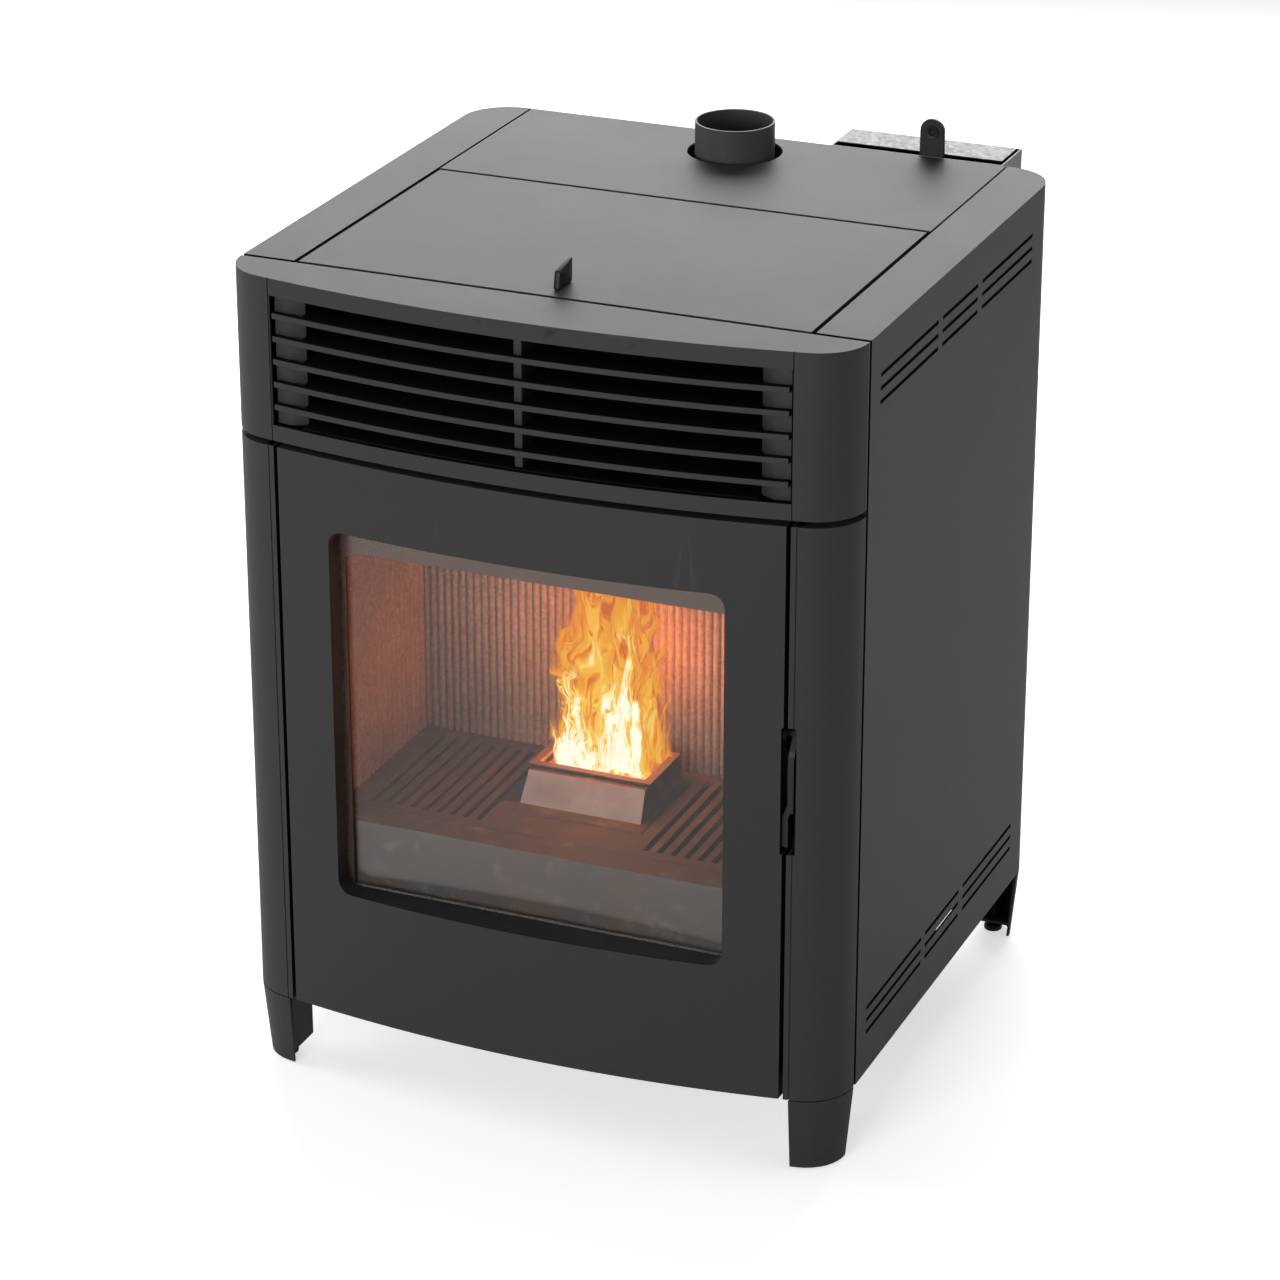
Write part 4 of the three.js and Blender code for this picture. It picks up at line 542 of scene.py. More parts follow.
def make_knit():
    """Knitted rope: V-shaped stitches 3 mm long laid in rows, with loose fuzz."""
    tree, given, out = finish_group("knitted_rope", (0.2, 0.2, 0.19), 0.9, 300.0)
    place = node(tree, "ShaderNodeTexCoord").outputs["Object"]
    stitch = node(tree, "ShaderNodeTexVoronoi", feature="SMOOTH_F1", Smoothness=0.5)
    tree.links.new(place, stitch.inputs["Vector"])
    tree.links.new(given.outputs["Grain"], stitch.inputs["Scale"])
    fuzz = node(tree, "ShaderNodeTexNoise", Scale=1500.0, Detail=3.0)
    smoke = node(tree, "ShaderNodeTexNoise", Scale=14.0, Detail=3.0)
    for texture in (fuzz, smoke):
        tree.links.new(place, texture.inputs["Vector"])
    stitches = ranged(tree, stitch.outputs["Distance"], 0.0, 0.7, 1.0, 0.0)
    shade = sums(tree, "MULTIPLY", ranged(tree, stitches, 0.0, 1.0, 0.55, 1.15),
                 ranged(tree, smoke.outputs["Fac"], 0.3, 0.7, 1.15, 0.7))
    tree.links.new(scaled(tree, given.outputs["Color"], shade), out.inputs["Color"])
    tree.links.new(given.outputs["Roughness"], out.inputs["Roughness"])
    tree.links.new(sums(tree, "ADD", stitches, sums(tree, "MULTIPLY", fuzz.outputs["Fac"], 0.3)),
                   out.inputs["Height"])
    return tree


glass_rope = finish("glass_rope", make_knit(), (0.17, 0.165, 0.155), 0.95, 420.0, 0.0006,
                    specular=0.2)


def rope_round(part, body, corner):
    """A rope laid in a rounded rectangle and pressed a little flat on its two sides.

    Its middle line runs at half the node's width inside the node's box, with arcs at the
    corners; round it the section is an ellipse, rippled by the knit 60 times a turn.
    """
    low, high = (np.array(c) * 1000 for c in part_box(part))
    flat = int(np.argmin(high - low))
    across = [axis for axis in range(3) if axis != flat]
    half = (high - low)[flat] / 2
    wide = 4.0 if part == "lid_seal" else 5.0
    inner = [(low[across[0]] + wide, low[across[1]] + wide),
             (high[across[0]] - wide, low[across[1]] + wide),
             (high[across[0]] - wide, high[across[1]] - wide),
             (low[across[0]] + wide, high[across[1]] - wide)]
    corners = rounded(inner, corner, 9)
    steps = np.linalg.norm(np.roll(corners, -1, 0) - corners, axis=1)
    along = np.concatenate([[0], np.cumsum(steps)])
    spots = np.linspace(0, along[-1], 361)[:-1]
    closed = np.vstack([corners, corners[:1]])
    line = np.stack([np.interp(spots, along, closed[:, k]) for k in (0, 1)], 1)
    forward = np.roll(line, -1, 0) - np.roll(line, 1, 0)
    forward /= np.linalg.norm(forward, axis=1)[:, None]
    outward = np.stack([forward[:, 1], -forward[:, 0]], 1)
    turn = np.arange(14) * FULL_TURN / 14
    swell = 1 - 0.05 * (1 + np.sin(spots[:, None] * FULL_TURN / 7.5 + turn[None] * 2)) / 2
    ring = np.zeros((len(line), len(turn), 3))
    side = outward[:, None, :] * (wide * np.cos(turn) * swell)[:, :, None]
    ring[:, :, across[0]] = line[:, None, 0] + side[:, :, 0]
    ring[:, :, across[1]] = line[:, None, 1] + side[:, :, 1]
    ring[:, :, flat] = (low[flat] + half) + half * np.sin(turn) * swell
    mesh = shell_mesh(part + "_knit", [(ring / 1000, True, True)], glass_rope, 80)
    placed(part + "_knit", mesh, body, part)


rope_round("door_rope_seal", "door", 13)
rope_round("lid_seal", "stove", 8)
for slot in frame["nodes"]["glass_gasket"].material_slots:
    slot.material = glass_rope

# ---- Hinges, latch and handle ---------------------------------------------------
# Two pressed brackets carry the door on upright pins. The handle is a slim black lever
# cranked forward of the post, on a spindle with a flat latch cam inside the door.
dressed("hinge_bracket_lower", dark_steel, 0.0004)
dressed("hinge_bracket_upper", dark_steel, 0.0004)
dressed("latch_cam", bare_steel, 0.0004)
dressed("door_handle", moulded_black, 0.0016, 4)

# ---- Fire chamber ---------------------------------------------------------------
# A welded box of heat-blackened plate, lined on three sides with fluted vermiculite
# board. The grate, the ash drawer and the pot holder in it are cast or folded iron.


def make_scorched_iron():
    """Cast or scaled iron: sandy skin, rust-brown bloom and pale ash in the hollows."""
    tree, given, out = finish_group("scorched_iron", (0.05, 0.045, 0.04), 0.7, 500.0)
    place = node(tree, "ShaderNodeTexCoord").outputs["Object"]
    sand = node(tree, "ShaderNodeTexNoise", Detail=4.0, Roughness=0.6)
    tree.links.new(given.outputs["Grain"], sand.inputs["Scale"])
    bloom = node(tree, "ShaderNodeTexNoise", Scale=22.0, Detail=5.0)
    ash = node(tree, "ShaderNodeTexNoise", Scale=60.0, Detail=6.0, Roughness=0.7)
    for texture in (sand, bloom, ash):
        tree.links.new(place, texture.inputs["Vector"])
    rust = node(tree, "ShaderNodeMix", data_type="RGBA")
    rust.inputs["B"].default_value = (0.085, 0.05, 0.03, 1)
    tree.links.new(ranged(tree, bloom.outputs["Fac"], 0.5, 0.75, 0.0, 0.6), rust.inputs["Factor"])
    tree.links.new(given.outputs["Color"], rust.inputs["A"])
    dusty = node(tree, "ShaderNodeMix", data_type="RGBA")
    dusty.inputs["B"].default_value = (0.22, 0.2, 0.18, 1)
    tree.links.new(ranged(tree, ash.outputs["Fac"], 0.55, 0.8, 0.0, 0.55), dusty.inputs["Factor"])
    tree.links.new(rust.outputs["Result"], dusty.inputs["A"])
    shade = ranged(tree, sand.outputs["Fac"], 0.3, 0.7, 0.82, 1.18)
    tree.links.new(scaled(tree, dusty.outputs["Result"], shade), out.inputs["Color"])
    tree.links.new(given.outputs["Roughness"], out.inputs["Roughness"])
    tree.links.new(sand.outputs["Fac"], out.inputs["Height"])
    return tree


scorched = make_scorched_iron()
chamber_iron = finish("chamber_iron", scorched, (0.04, 0.037, 0.034), 0.7, 420.0, 0.0001)
grate_iron = finish("grate_iron", scorched, (0.046, 0.036, 0.030), 0.62, 380.0, 0.00012)
dressed("firebox", chamber_iron, 0.0005)
grate = dressed("ash_grate", grate_iron, 0.0006)

holder_steel = finish("holder_steel", scorched, (0.19, 0.165, 0.155), 0.55, 500.0, 0.00005)
repaint(grate, holder_steel,
        lambda at, way: (np.abs(at[:, 0]) < 0.072) & (at[:, 1] > -0.21) & (at[:, 2] > 0.2765) &
        (way[:, 1] < -0.5))
drawer_steel = finish("drawer_steel", scorched, (0.055, 0.052, 0.05), 0.5, 500.0, 0.00005)
# The drawer's upward faces take the darker grate iron as painted shade.
repaint(dressed("ash_drawer", drawer_steel, 0.0006), grate_iron,
        lambda at, way: way[:, 2] > 0.5)
dressed("igniter", bare_steel, 0.0003)


def toned(tree, source, *stops):
    """A colour read off a ramp; each stop is a position and a colour, the ends first."""
    ramp = node(tree, "ShaderNodeValToRGB")
    for element, (position, color) in zip(ramp.color_ramp.elements, stops):
        element.position = position
        element.color = (*color, 1)
    for position, color in stops[2:]:
        ramp.color_ramp.elements.new(position).color = (*color, 1)
    tree.links.new(source, ramp.inputs["Fac"])
    return ramp.outputs["Color"]


def make_vermiculite():
    """Pressed mineral board: 2 mm flakes, some glinting, browned by smoke."""
    material, tree, shader = new_material("vermiculite_board")
    place = node(tree, "ShaderNodeTexCoord").outputs["Object"]
    flake = node(tree, "ShaderNodeTexVoronoi", Scale=420.0)
    smoke = node(tree, "ShaderNodeTexNoise", Scale=7.0, Detail=4.0)
    grit = node(tree, "ShaderNodeTexNoise", Scale=900.0, Detail=3.0)
    for texture in (flake, smoke, grit):
        tree.links.new(place, texture.inputs["Vector"])
    tone = toned(tree, flake.outputs["Color"],
                 (0.0, (0.12, 0.085, 0.065)), (1.0, (0.26, 0.19, 0.14)))
    tree.links.new(scaled(tree, tone,
                          ranged(tree, smoke.outputs["Fac"], 0.3, 0.7, 0.6, 1.0)),
                   shader.inputs["Base Color"])
    tree.links.new(ranged(tree, flake.outputs["Distance"], 0.0, 0.6, 0.75, 0.95),
                   shader.inputs["Roughness"])
    raised(tree, shader, grit.outputs["Fac"], 0.0002)
    return material


vermiculite = make_vermiculite()


def fluted_board(part, pitch, deep, long_axis, face):
    """A board whose section in Z is carried along one axis while its face runs in flutes.

    At a distance s along the board the face stands back by d (1 - |cos(pi s / p)|^0.7),
    which gives sharp crests a pitch p apart; the section has arrises broken by 0.8 mm.
    """
    low, high = (np.array(corner) * 1000 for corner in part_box(part))
    deep_axis = 1 - long_axis
    along = np.linspace(low[long_axis], high[long_axis],
                        int((high - low)[long_axis] / pitch) * 10 + 1)
    middle = (low + high)[long_axis] / 2
    back_off = deep * (1 - np.abs(np.cos(np.pi * (along - middle) / pitch)) ** 0.7)
    front = (low if face < 0 else high)[deep_axis] - face * back_off
    rear = np.full_like(front, (high if face < 0 else low)[deep_axis])
    bottom, top, arris = low[2], high[2], 0.8
    depth = np.stack([front - face * arris, front, front, front - face * arris,
                      rear + face * arris, rear, rear, rear + face * arris], 1)
    height = np.array([bottom, bottom + arris, top - arris, top,
                       top, top - arris, bottom + arris, bottom])
    ring = np.empty((len(along), 8, 3))
    ring[:, :, long_axis] = along[:, None]
    ring[:, :, deep_axis] = depth
    ring[:, :, 2] = height
    mesh = shell_mesh(part + "_fluted", [(lofted(ring) / 1000, False, True)], vermiculite, 50)
    placed(part + "_fluted", mesh, "stove", part)


fluted_board("back_liner", 8.04, 3.0, 0, -1)
fluted_board("left_liner", 10.8, 2.5, 1, 1)
fluted_board("right_liner", 10.8, 2.5, 1, -1)

# ---- Fire pot and its fire ------------------------------------------------------
# The cast pot hangs in its holder, heaped with glowing pellets. The flames are thin
# upright sheets one behind another, lit and shaped by flowing noise.
pot_iron = finish("pot_iron", scorched, (0.10, 0.075, 0.06), 0.6, 420.0, 0.0001)
pot = dressed("fire_pot", pot_iron, 0.0008)


def make_glowing_iron():
    """Iron at red heat: scale-grey patches over a dull orange glow."""
    material = finish("glowing_iron", scorched, (0.08, 0.05, 0.04), 0.7, 420.0, 0.0001)
    tree = material.node_tree
    shader = tree.nodes["Principled BSDF"]
    patch = node(tree, "ShaderNodeTexNoise", Scale=45.0, Detail=4.0)
    tree.links.new(node(tree, "ShaderNodeTexCoord").outputs["Object"], patch.inputs["Vector"])
    tree.links.new(toned(tree, patch.outputs["Fac"], (0.3, (0.20, 0.03, 0.01)),
                         (0.7, (1.0, 0.27, 0.06))), shader.inputs["Emission Color"])
    shader.inputs["Emission Strength"].default_value = 0.75
    return material


repaint(pot, make_glowing_iron(),
        lambda at, way: (at[:, 2] > 0.25) & (np.abs(at[:, 0]) < 0.0655) &
        (at[:, 0] * way[:, 0] + (at[:, 1] + 0.1335) * way[:, 1] < -0.01))


def make_ember():
    """Burning wood pellets: glowing orange cracks between grey ash-covered faces."""
    material, tree, shader = new_material("ember")
    shader.inputs["Roughness"].default_value = 0.9
    place = node(tree, "ShaderNodeTexCoord").outputs["Object"]
    crack = node(tree, "ShaderNodeTexNoise", Scale=170.0, Detail=4.0)
    tree.links.new(place, crack.inputs["Vector"])
    tree.links.new(toned(tree, crack.outputs["Fac"], (0.0, (0.03, 0.025, 0.02)),
                         (1.0, (0.32, 0.28, 0.25))), shader.inputs["Base Color"])
    tree.links.new(toned(tree, crack.outputs["Fac"], (0.36, (1.0, 0.10, 0.01)),
                         (0.68, (1.0, 0.62, 0.16))), shader.inputs["Emission Color"])
    shader.inputs["Emission Strength"].default_value = 1.6
    raised(tree, shader, crack.outputs["Fac"], 0.0006)
    return material


POT_MIDDLE = -133.5


def make_pellets(count=120):
    """Pellets 6 mm thick and 9 to 15 mm long, scattered and tipped over the heap.

    Each is a ten-sided ring set: radius profile (0, 2.4, 3, 3, 2.4, 0) along its length,
    turned by two random angles and laid on z = 289 + 10 (1 - (x/44)^2)(1 - (y/28)^2), then
    shifted in height by a random -3 to 1.5 mm.
    """
    chance = np.random.default_rng(41)
    x = chance.uniform(-38, 38, count)
    y = chance.uniform(-21, 21, count)
    z = 289 + 10 * (1 - (x / 44) ** 2) * (1 - (y / 28) ** 2) + chance.uniform(-3, 1.5, count)
    heading, tip = chance.uniform(0, FULL_TURN, count), chance.normal(0, 0.35, count)
    length = chance.uniform(9, 15, count)
    radii = np.array([0, 2.4, 3, 3, 2.4, 0])
    reach = np.array([-0.5, -0.5, -0.42, 0.42, 0.5, 0.5])
    turn = np.arange(10) * FULL_TURN / 10
    axis = np.stack([np.cos(heading) * np.cos(tip), np.sin(heading) * np.cos(tip),
                     np.sin(tip)], 1)
    beside = np.stack([-np.sin(heading), np.cos(heading), np.zeros(count)], 1)
    above = np.cross(axis, beside)
    grids = []
    for i in range(count):
        ring = beside[i] * np.cos(turn)[:, None] + above[i] * np.sin(turn)[:, None]
        pellet = (np.array([x[i], y[i] + POT_MIDDLE, z[i]]) + axis[i] * length[i] *
                  reach[:, None, None] + ring[None] * radii[:, None, None])
        grids.append((pellet / 1000, False, True))
    return grids


placed("burning_pellets", shell_mesh("burning_pellets", make_pellets(), make_ember(), 50), "pot")


def make_flame_flow():
    """Tongues of flame on a sheet whose UV runs -1..1 across and 0..1 upwards.

    The sheet is bent sideways by slow noise that grows with height, which turns u into b.
    Its thickness is 1 - |b (1 + 0.3 v)|^2.5 - H v, where H is the Height input, plus
    stretched noise that frays it more towards the top. Cut soft it gives the alpha, and
    thickness, height and fine noise pick the colour from deep orange to near white.
    """
    tree, given, out = new_group(
        "flame_flow", [("Seed", "f", 0.0), ("Heat", "f", 0.0), ("Height", "f", 0.6)],
        [("Color", "c"), ("Alpha", "f")])
    spot = node(tree, "ShaderNodeSeparateXYZ")
    tree.links.new(node(tree, "ShaderNodeTexCoord").outputs["UV"], spot.inputs[0])
    across, up = spot.outputs["X"], spot.outputs["Y"]

    def flow(stretch_x, stretch_y, side, **settings):
        """Noise on the sheet, stretched by the two factors and shifted by the seed."""
        where = node(tree, "ShaderNodeCombineXYZ")
        tree.links.new(sums(tree, "MULTIPLY", side, stretch_x), where.inputs[0])
        tree.links.new(sums(tree, "MULTIPLY", up, stretch_y), where.inputs[1])
        tree.links.new(given.outputs["Seed"], where.inputs[2])
        cloud = node(tree, "ShaderNodeTexNoise", **settings)
        tree.links.new(where.outputs[0], cloud.inputs["Vector"])
        return sums(tree, "SUBTRACT", cloud.outputs["Fac"], 0.5)

    sway = flow(0.9, 2.2, across, Scale=1.5, Detail=2.0)
    bent = sums(tree, "ADD", across,
                sums(tree, "MULTIPLY", sway, sums(tree, "ADD", sums(tree, "MULTIPLY", up, 1.6),
                                                  0.35)))
    tongue = flow(2.4, 1.9, bent, Scale=1.5, Detail=3.0, Roughness=0.5, Distortion=0.9)
    lick = flow(4.0, 3.2, bent, Scale=1.7, Detail=4.0, Roughness=0.55, Distortion=1.3)
    spread = sums(tree, "ADD", sums(tree, "MULTIPLY", up, 0.3), 1.0)
    side = sums(tree, "POWER", sums(tree, "ABSOLUTE", sums(tree, "MULTIPLY", bent, spread),
                                    0.0), 2.5)
    thick = sums(tree, "SUBTRACT", sums(tree, "SUBTRACT", 1.0, side),
                 sums(tree, "MULTIPLY", up, given.outputs["Height"]))
    thick = sums(tree, "ADD", thick, sums(tree, "MULTIPLY", tongue, 2.3))
    curl = sums(tree, "ADD", sums(tree, "MULTIPLY", up, 2.6), 0.7)
    thick = sums(tree, "ADD", thick, sums(tree, "MULTIPLY", lick, curl))
    vein = ranged(tree, sums(tree, "ABSOLUTE", lick, 0.0), 0.0, 0.07, 0.22, 0.0, True)
    hot = sums(tree, "ADD", sums(tree, "MULTIPLY", thick, 0.62), given.outputs["Heat"])
    hot = sums(tree, "ADD", hot, sums(tree, "MULTIPLY", lick, 0.9))
    hot = sums(tree, "ADD", hot, vein)
    hot = sums(tree, "SUBTRACT", hot, sums(tree, "MULTIPLY", up, 0.42))
    tone = toned(tree, hot, (0.0, (0.64, 0.11, 0.008)), (1.0, (1.0, 0.98, 0.80)),
                 (0.18, (0.84, 0.24, 0.012)), (0.42, (0.91, 0.40, 0.018)),
                 (0.68, (0.96, 0.58, 0.06)), (0.88, (1.0, 0.85, 0.38)))
    tree.links.new(tone, out.inputs["Color"])
    soft = ranged(tree, thick, 0.02, 0.5, 0.0, 1.0, True)
    root = ranged(tree, up, 0.0, 0.03, 0.0, 1.0, True)
    tip = ranged(tree, up, 0.82, 1.0, 1.0, 0.0, True)
    tree.links.new(sums(tree, "MULTIPLY", sums(tree, "MULTIPLY", soft, root), tip),
                   out.inputs["Alpha"])
    return tree


flame_flow = make_flame_flow()
FLAME_FOOT = 296


def add_flame(number, middle, depth, half_width, top, bow, turn, heat, height, strength):
    """One upright sheet: x = h u, y = b (1 - u^2) + 3.5 v sin(7 v + n), turned about Z.

    It stands in the pot at the middle and depth given, and rises to the top.
    """
    u, v = np.meshgrid(np.linspace(-1, 1, 25), np.linspace(0, 1, 33))
    x = half_width * u
    y = bow * (1 - u ** 2) + 3.5 * np.sin(7 * v + number) * v
    cos, sin = np.cos(turn), np.sin(turn)
    grid = np.stack([middle + cos * x - sin * y, depth + sin * x + cos * y,
                     FLAME_FOOT + (top - FLAME_FOOT) * v], -1)
    mesh = bpy.data.meshes.new(f"flame_{number}")
    mesh.from_pydata(grid.reshape(-1, 3) / 1000, [],
                     quads_of(np.arange(u.size).reshape(u.shape)).tolist())
    mesh.polygons.foreach_set("use_smooth", np.ones(len(mesh.polygons), bool))
    corners = np.empty(len(mesh.loops), np.int32)
    mesh.loops.foreach_get("vertex_index", corners)
    place = np.stack([u.ravel()[corners], v.ravel()[corners]], 1)
    mesh.uv_layers.new(name="sheet").data.foreach_set("uv", place.ravel())
    material, tree, shader = new_material(f"flame_{number}")
    shader.inputs["Base Color"].default_value = (0, 0, 0, 1)
    shader.inputs["Roughness"].default_value = 1.0
    shader.inputs["Specular IOR Level"].default_value = 0.0
    shader.inputs["Emission Strength"].default_value = strength
    flow = node(tree, "ShaderNodeGroup", node_tree=flame_flow)
    flow.inputs["Seed"].default_value = 3.7 * number
    flow.inputs["Heat"].default_value = heat
    flow.inputs["Height"].default_value = height
    tree.links.new(flow.outputs["Color"], shader.inputs["Emission Color"])
    tree.links.new(flow.outputs["Alpha"], shader.inputs["Alpha"])
    mesh.materials.append(material)
    piece = placed(f"flame_{number}", mesh, "pot")
    piece.visible_shadow = False
    piece.visible_diffuse = False


for values in ((1, 0, -112, 61, 584, 4, 0.10, 0.0, 0.30, 1.0),
               (2, 0, -124, 58, 580, -5, -0.16, 0.04, 0.50, 1.0),
               (3, 0, -135, 55, 540, 6, 0.22, 0.10, 0.80, 1.05),
               (4, -24, -147, 28, 415, -4, -0.08, 0.62, 0.80, 1.15),
               (5, 20, -143, 27, 465, 4, 0.12, 0.62, 0.75, 1.15)):
    add_flame(*values)

fire = bpy.data.lights.new("fire_glow", "POINT")
fire.color = (1.0, 0.27, 0.06)
fire.energy = 2.4
fire.shadow_soft_size = 0.03
glow = bpy.data.objects.new("fire_glow", fire)
glow.location = (0.015, -0.148, 0.41)
glow.visible_camera = False
glow.visible_glossy = False
glow.visible_transmission = False
bpy.context.scene.collection.objects.link(glow)

# ---- Pellet feed ----------------------------------------------------------------
# A steel tube slopes up from the hopper to the chute in the back wall. A welded screw
# turns in it, driven by a small gear motor at its lower end.
dressed("auger_tube", bare_steel, 0.0003)
dressed("auger_screw", bare_steel, 0.0002, 1)
dressed("feed_motor", moulded_black, 0.0012)

# ---- Smoke fan and flue ---------------------------------------------------------
# The cast fan housing blows smoke into an enamelled steel pipe, whose end stands out of
# the top as the spigot that the room's flue slides over.
dressed("exhaust_housing", chamber_iron, 0.0008)
dressed("exhaust_impeller", bare_steel, 0.0003)
flue_enamel = finish("flue_enamel", powder_coat, (0.066, 0.068, 0.074), 0.5, 900.0, 0.00003,
                    specular=0.25)
dressed("flue_pipe", flue_enamel, 0.0005)

# ---- Room fan -------------------------------------------------------------------
# A galvanised drum with a moulded squirrel-cage rotor pushes room air past the chamber
# and out through the louvres.


def make_galvanised():
    """Hot-dipped zinc: crystal patches 8 mm across, each its own grey and gloss."""
    tree, given, out = finish_group("galvanised", (0.5, 0.5, 0.5), 0.4, 120.0)
    place = node(tree, "ShaderNodeTexCoord").outputs["Object"]
    crystal = node(tree, "ShaderNodeTexVoronoi")
    tree.links.new(place, crystal.inputs["Vector"])
    tree.links.new(given.outputs["Grain"], crystal.inputs["Scale"])
    mist = node(tree, "ShaderNodeTexNoise", Scale=600.0, Detail=2.0)
    tree.links.new(place, mist.inputs["Vector"])
    tone = node(tree, "ShaderNodeSeparateColor")
    tree.links.new(crystal.outputs["Color"], tone.inputs[0])
    tree.links.new(scaled(tree, given.outputs["Color"],
                          ranged(tree, tone.outputs["Red"], 0.0, 1.0, 0.86, 1.1)),
                   out.inputs["Color"])
    tree.links.new(sums(tree, "MULTIPLY", given.outputs["Roughness"],
                        ranged(tree, tone.outputs["Green"], 0.0, 1.0, 0.8, 1.2)),
                   out.inputs["Roughness"])
    tree.links.new(mist.outputs["Fac"], out.inputs["Height"])
    return tree


galvanised = make_galvanised()
zinc = finish("zinc_sheet", galvanised, (0.42, 0.43, 0.44), 0.4, 120.0, 0.00001, 0.85)
dressed("blower_housing", zinc, 0.0004)
dressed("blower_rotor", moulded_black, 0.0003, 1)

# ---- Back of the stove ----------------------------------------------------------
# The back is a galvanised panel with pressed vents. It carries the combustion-air pipe,
# the mains inlet with its red rocker, the connection box and the wall lug.
dressed("rear_panel", zinc, 0.0004)
dressed("air_intake", zinc, 0.0003)
dressed("mains_inlet", moulded_black, 0.0005)
switch_red = finish("switch_red", powder_coat, (0.42, 0.02, 0.015), 0.32, 1500.0, 0.00001)
dressed("power_switch", switch_red, 0.0006, 3)
lug_black = finish("lug_black", powder_coat, (0.02, 0.02, 0.02), 0.35, 900.0, 0.00003)
box_steel = finish("box_steel", galvanised, (0.36, 0.36, 0.36), 0.55, 260.0, 0.00001, 0.1, 0.25)
# All but the galvanised top is black: the box's black paint outside, painted shade in its open
# channel.
repaint(dressed("connection_box", lug_black, 0.0004), box_steel,
        lambda at, way: (way[:, 2] > 0.5) & (at[:, 2] > 0.822) & (at[:, 1] > 0.289))
dressed("wall_lug", lug_black, 0.0008, 3)


LUG_HOLE_HEIGHT = 849.25


def make_lug_bush():
    """A rubber bush snapped into the lug: a turned ring with a dished floor, axis along Y."""
    profile = np.array([(0, -0.6), (2.4, -0.6), (3.4, 1.2), (6.6, 1.6), (7.0, 1.2), (7.0, 0.3),
                        (4.8, 0.2), (4.8, -1.8), (0, -1.8)])
    turn = np.arange(32) * FULL_TURN / 32
    low, high = (np.array(corner) * 1000 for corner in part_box("wall_lug"))
    return np.stack([(low[0] + high[0]) / 2 + np.outer(np.cos(turn), profile[:, 0]),
                     low[1] - np.broadcast_to(profile[:, 1], (32, len(profile))),
                     LUG_HOLE_HEIGHT + np.outer(np.sin(turn), profile[:, 0])], -1) / 1000


placed("lug_bush", shell_mesh("lug_bush", [(make_lug_bush(), True, False)], moulded_black),
       "stove")

# ---- Control board --------------------------------------------------------------
# A green circuit board stands on four posts inside the left panel, with a transformer,
# relays and connectors soldered on.


def make_board():
    """Circuit board: lacquered green with copper tracks on a 2.5 mm raster."""
    material, tree, shader = new_material("circuit_board")
    place = node(tree, "ShaderNodeTexCoord").outputs["Object"]
    track = node(tree, "ShaderNodeTexVoronoi", feature="DISTANCE_TO_EDGE", Scale=160.0,
                 Randomness=0.6)
    tree.links.new(place, track.inputs["Vector"])
    copper = node(tree, "ShaderNodeMix", data_type="RGBA")
    copper.inputs["A"].default_value = (0.03, 0.16, 0.07, 1)
    copper.inputs["B"].default_value = (0.008, 0.07, 0.03, 1)
    tree.links.new(ranged(tree, track.outputs["Distance"], 0.04, 0.08, 0.0, 1.0),
                   copper.inputs["Factor"])
    tree.links.new(copper.outputs["Result"], shader.inputs["Base Color"])
    tree.links.new(ranged(tree, track.outputs["Distance"], 0.04, 0.08, 0.3, 0.45),
                   shader.inputs["Roughness"])
    raised(tree, shader, track.outputs["Distance"], 0.0001)
    return material


dressed("control_board", make_board(), 0.0003)

# ---- Floor, light and camera ----------------------------------------------------
# The stove stands on a matt white floor that runs out to the horizon, lit by four soft
# boxes. The camera stands where the photo's straight edges put it.


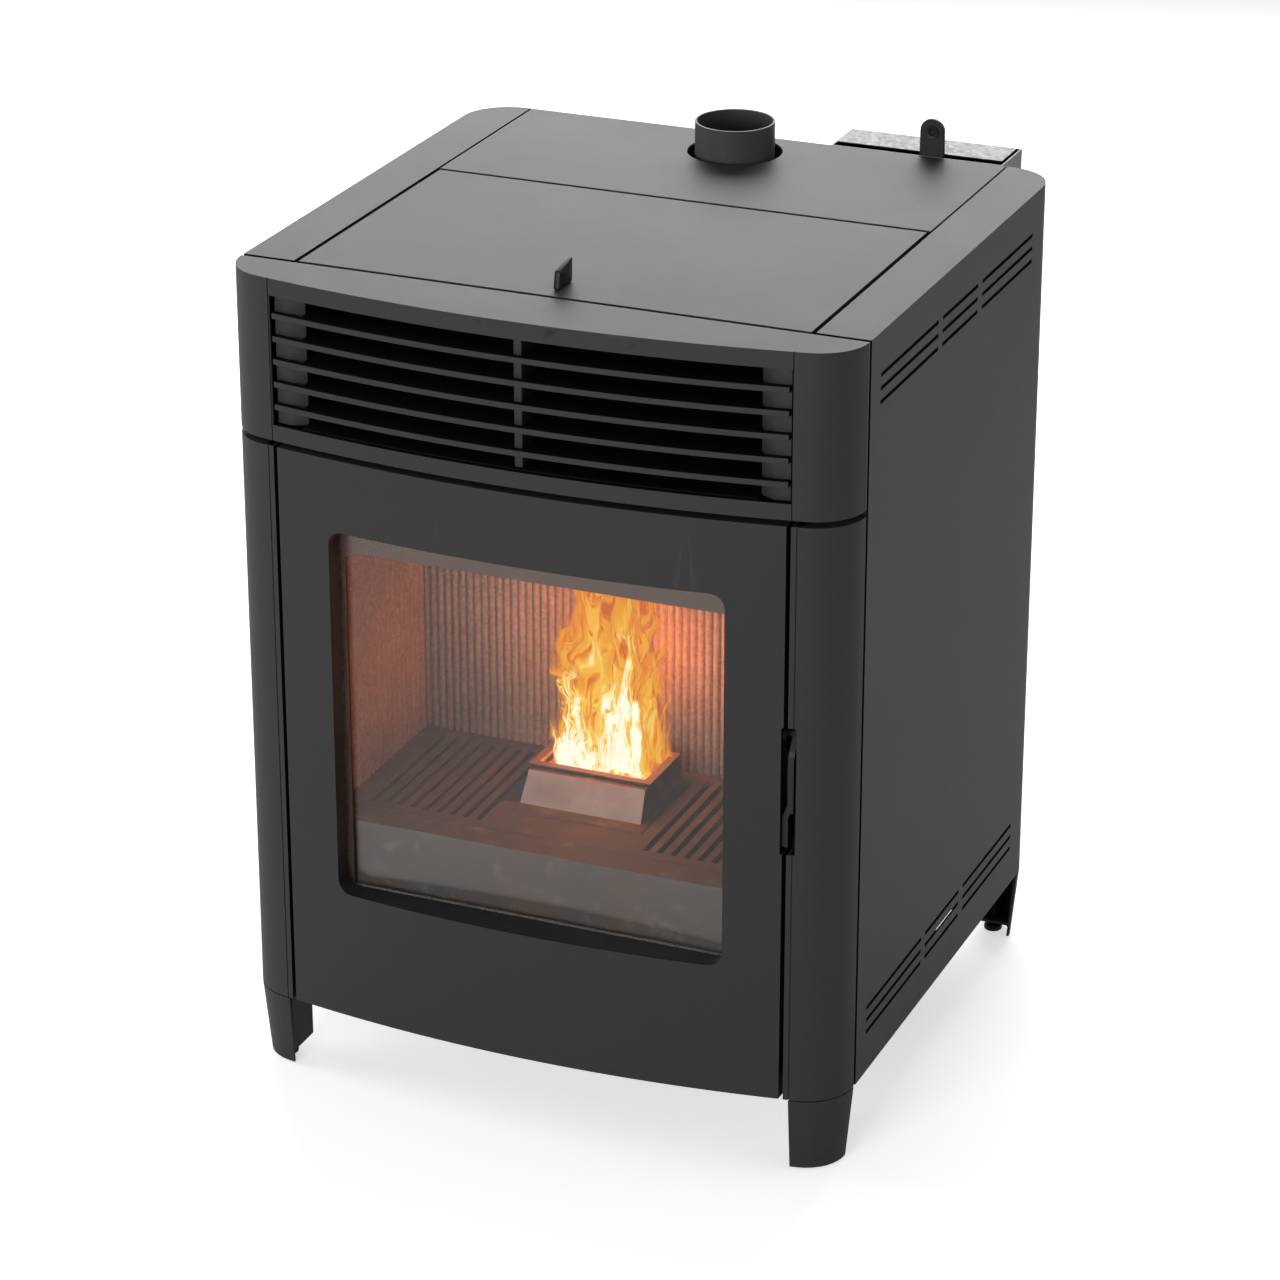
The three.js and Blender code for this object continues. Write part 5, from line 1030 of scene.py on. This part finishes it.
def make_floor():
    """Matt white that glows a little for the camera, so that the backdrop stays white."""
    material, tree, shader = new_material("white_floor")
    shader.inputs["Base Color"].default_value = (0.86, 0.86, 0.86, 1)
    shader.inputs["Roughness"].default_value = 0.9
    shader.inputs["Specular IOR Level"].default_value = 0.1
    shader.inputs["Emission Color"].default_value = (1, 1, 1, 1)
    path = node(tree, "ShaderNodeLightPath")
    seen = sums(tree, "ADD", sums(tree, "MULTIPLY", path.outputs["Is Camera Ray"], 0.6),
                sums(tree, "MULTIPLY", path.outputs["Is Glossy Ray"], 0.1))
    tree.links.new(seen, shader.inputs["Emission Strength"])
    return material


mesh = bpy.data.meshes.new("floor")
mesh.from_pydata([(-30, -30, 0), (30, -30, 0), (30, 30, 0), (-30, 30, 0)], [], [(0, 1, 2, 3)])
mesh.materials.append(make_floor())
floor = bpy.data.objects.new("floor", mesh)
bpy.context.scene.collection.objects.link(floor)


def softbox(name, location, target, width, height, energy):
    """A rectangular area light aimed at a point, sizes in metres and energy in watts."""
    light = bpy.data.lights.new(name, "AREA")
    light.shape = "RECTANGLE"
    light.size = width
    light.size_y = height
    light.energy = energy
    lamp = bpy.data.objects.new(name, light)
    lamp.location = location
    lamp.rotation_euler = (Vector(target) - Vector(location)).to_track_quat("-Z", "Y").to_euler()
    bpy.context.scene.collection.objects.link(lamp)


softbox("behind_above", (-0.9, 3.0, 2.1), (0, 0, 0.8), 3.4, 1.8, 118)
softbox("left_side", (-3.6, -0.6, 1.6), (0, 0, 0.5), 1.6, 2.2, 40)
softbox("front_fill", (-0.3, -4.0, 1.4), (0, 0, 0.5), 2.0, 1.2, 62)
softbox("right_rear", (3.2, 1.2, 1.5), (0, 0, 0.5), 1.6, 2.2, 9)

world = bpy.data.worlds.new("studio")
bpy.context.scene.world = world
world.use_nodes = True
background = world.node_tree.nodes["Background"]
background.inputs["Color"].default_value = (1, 1, 1, 1)
background.inputs["Strength"].default_value = 0.25

view = bpy.data.cameras.new("view")
view.lens = 122.6
view.sensor_width = 36
camera = bpy.data.objects.new("camera", view)
camera.location = (1.53095, -3.67658, 2.11083)
camera.rotation_euler = np.radians((66.53, 0.0, 22.87))
bpy.context.scene.collection.objects.link(camera)
bpy.context.scene.camera = camera
bpy.context.scene.view_settings.view_transform = "Standard"
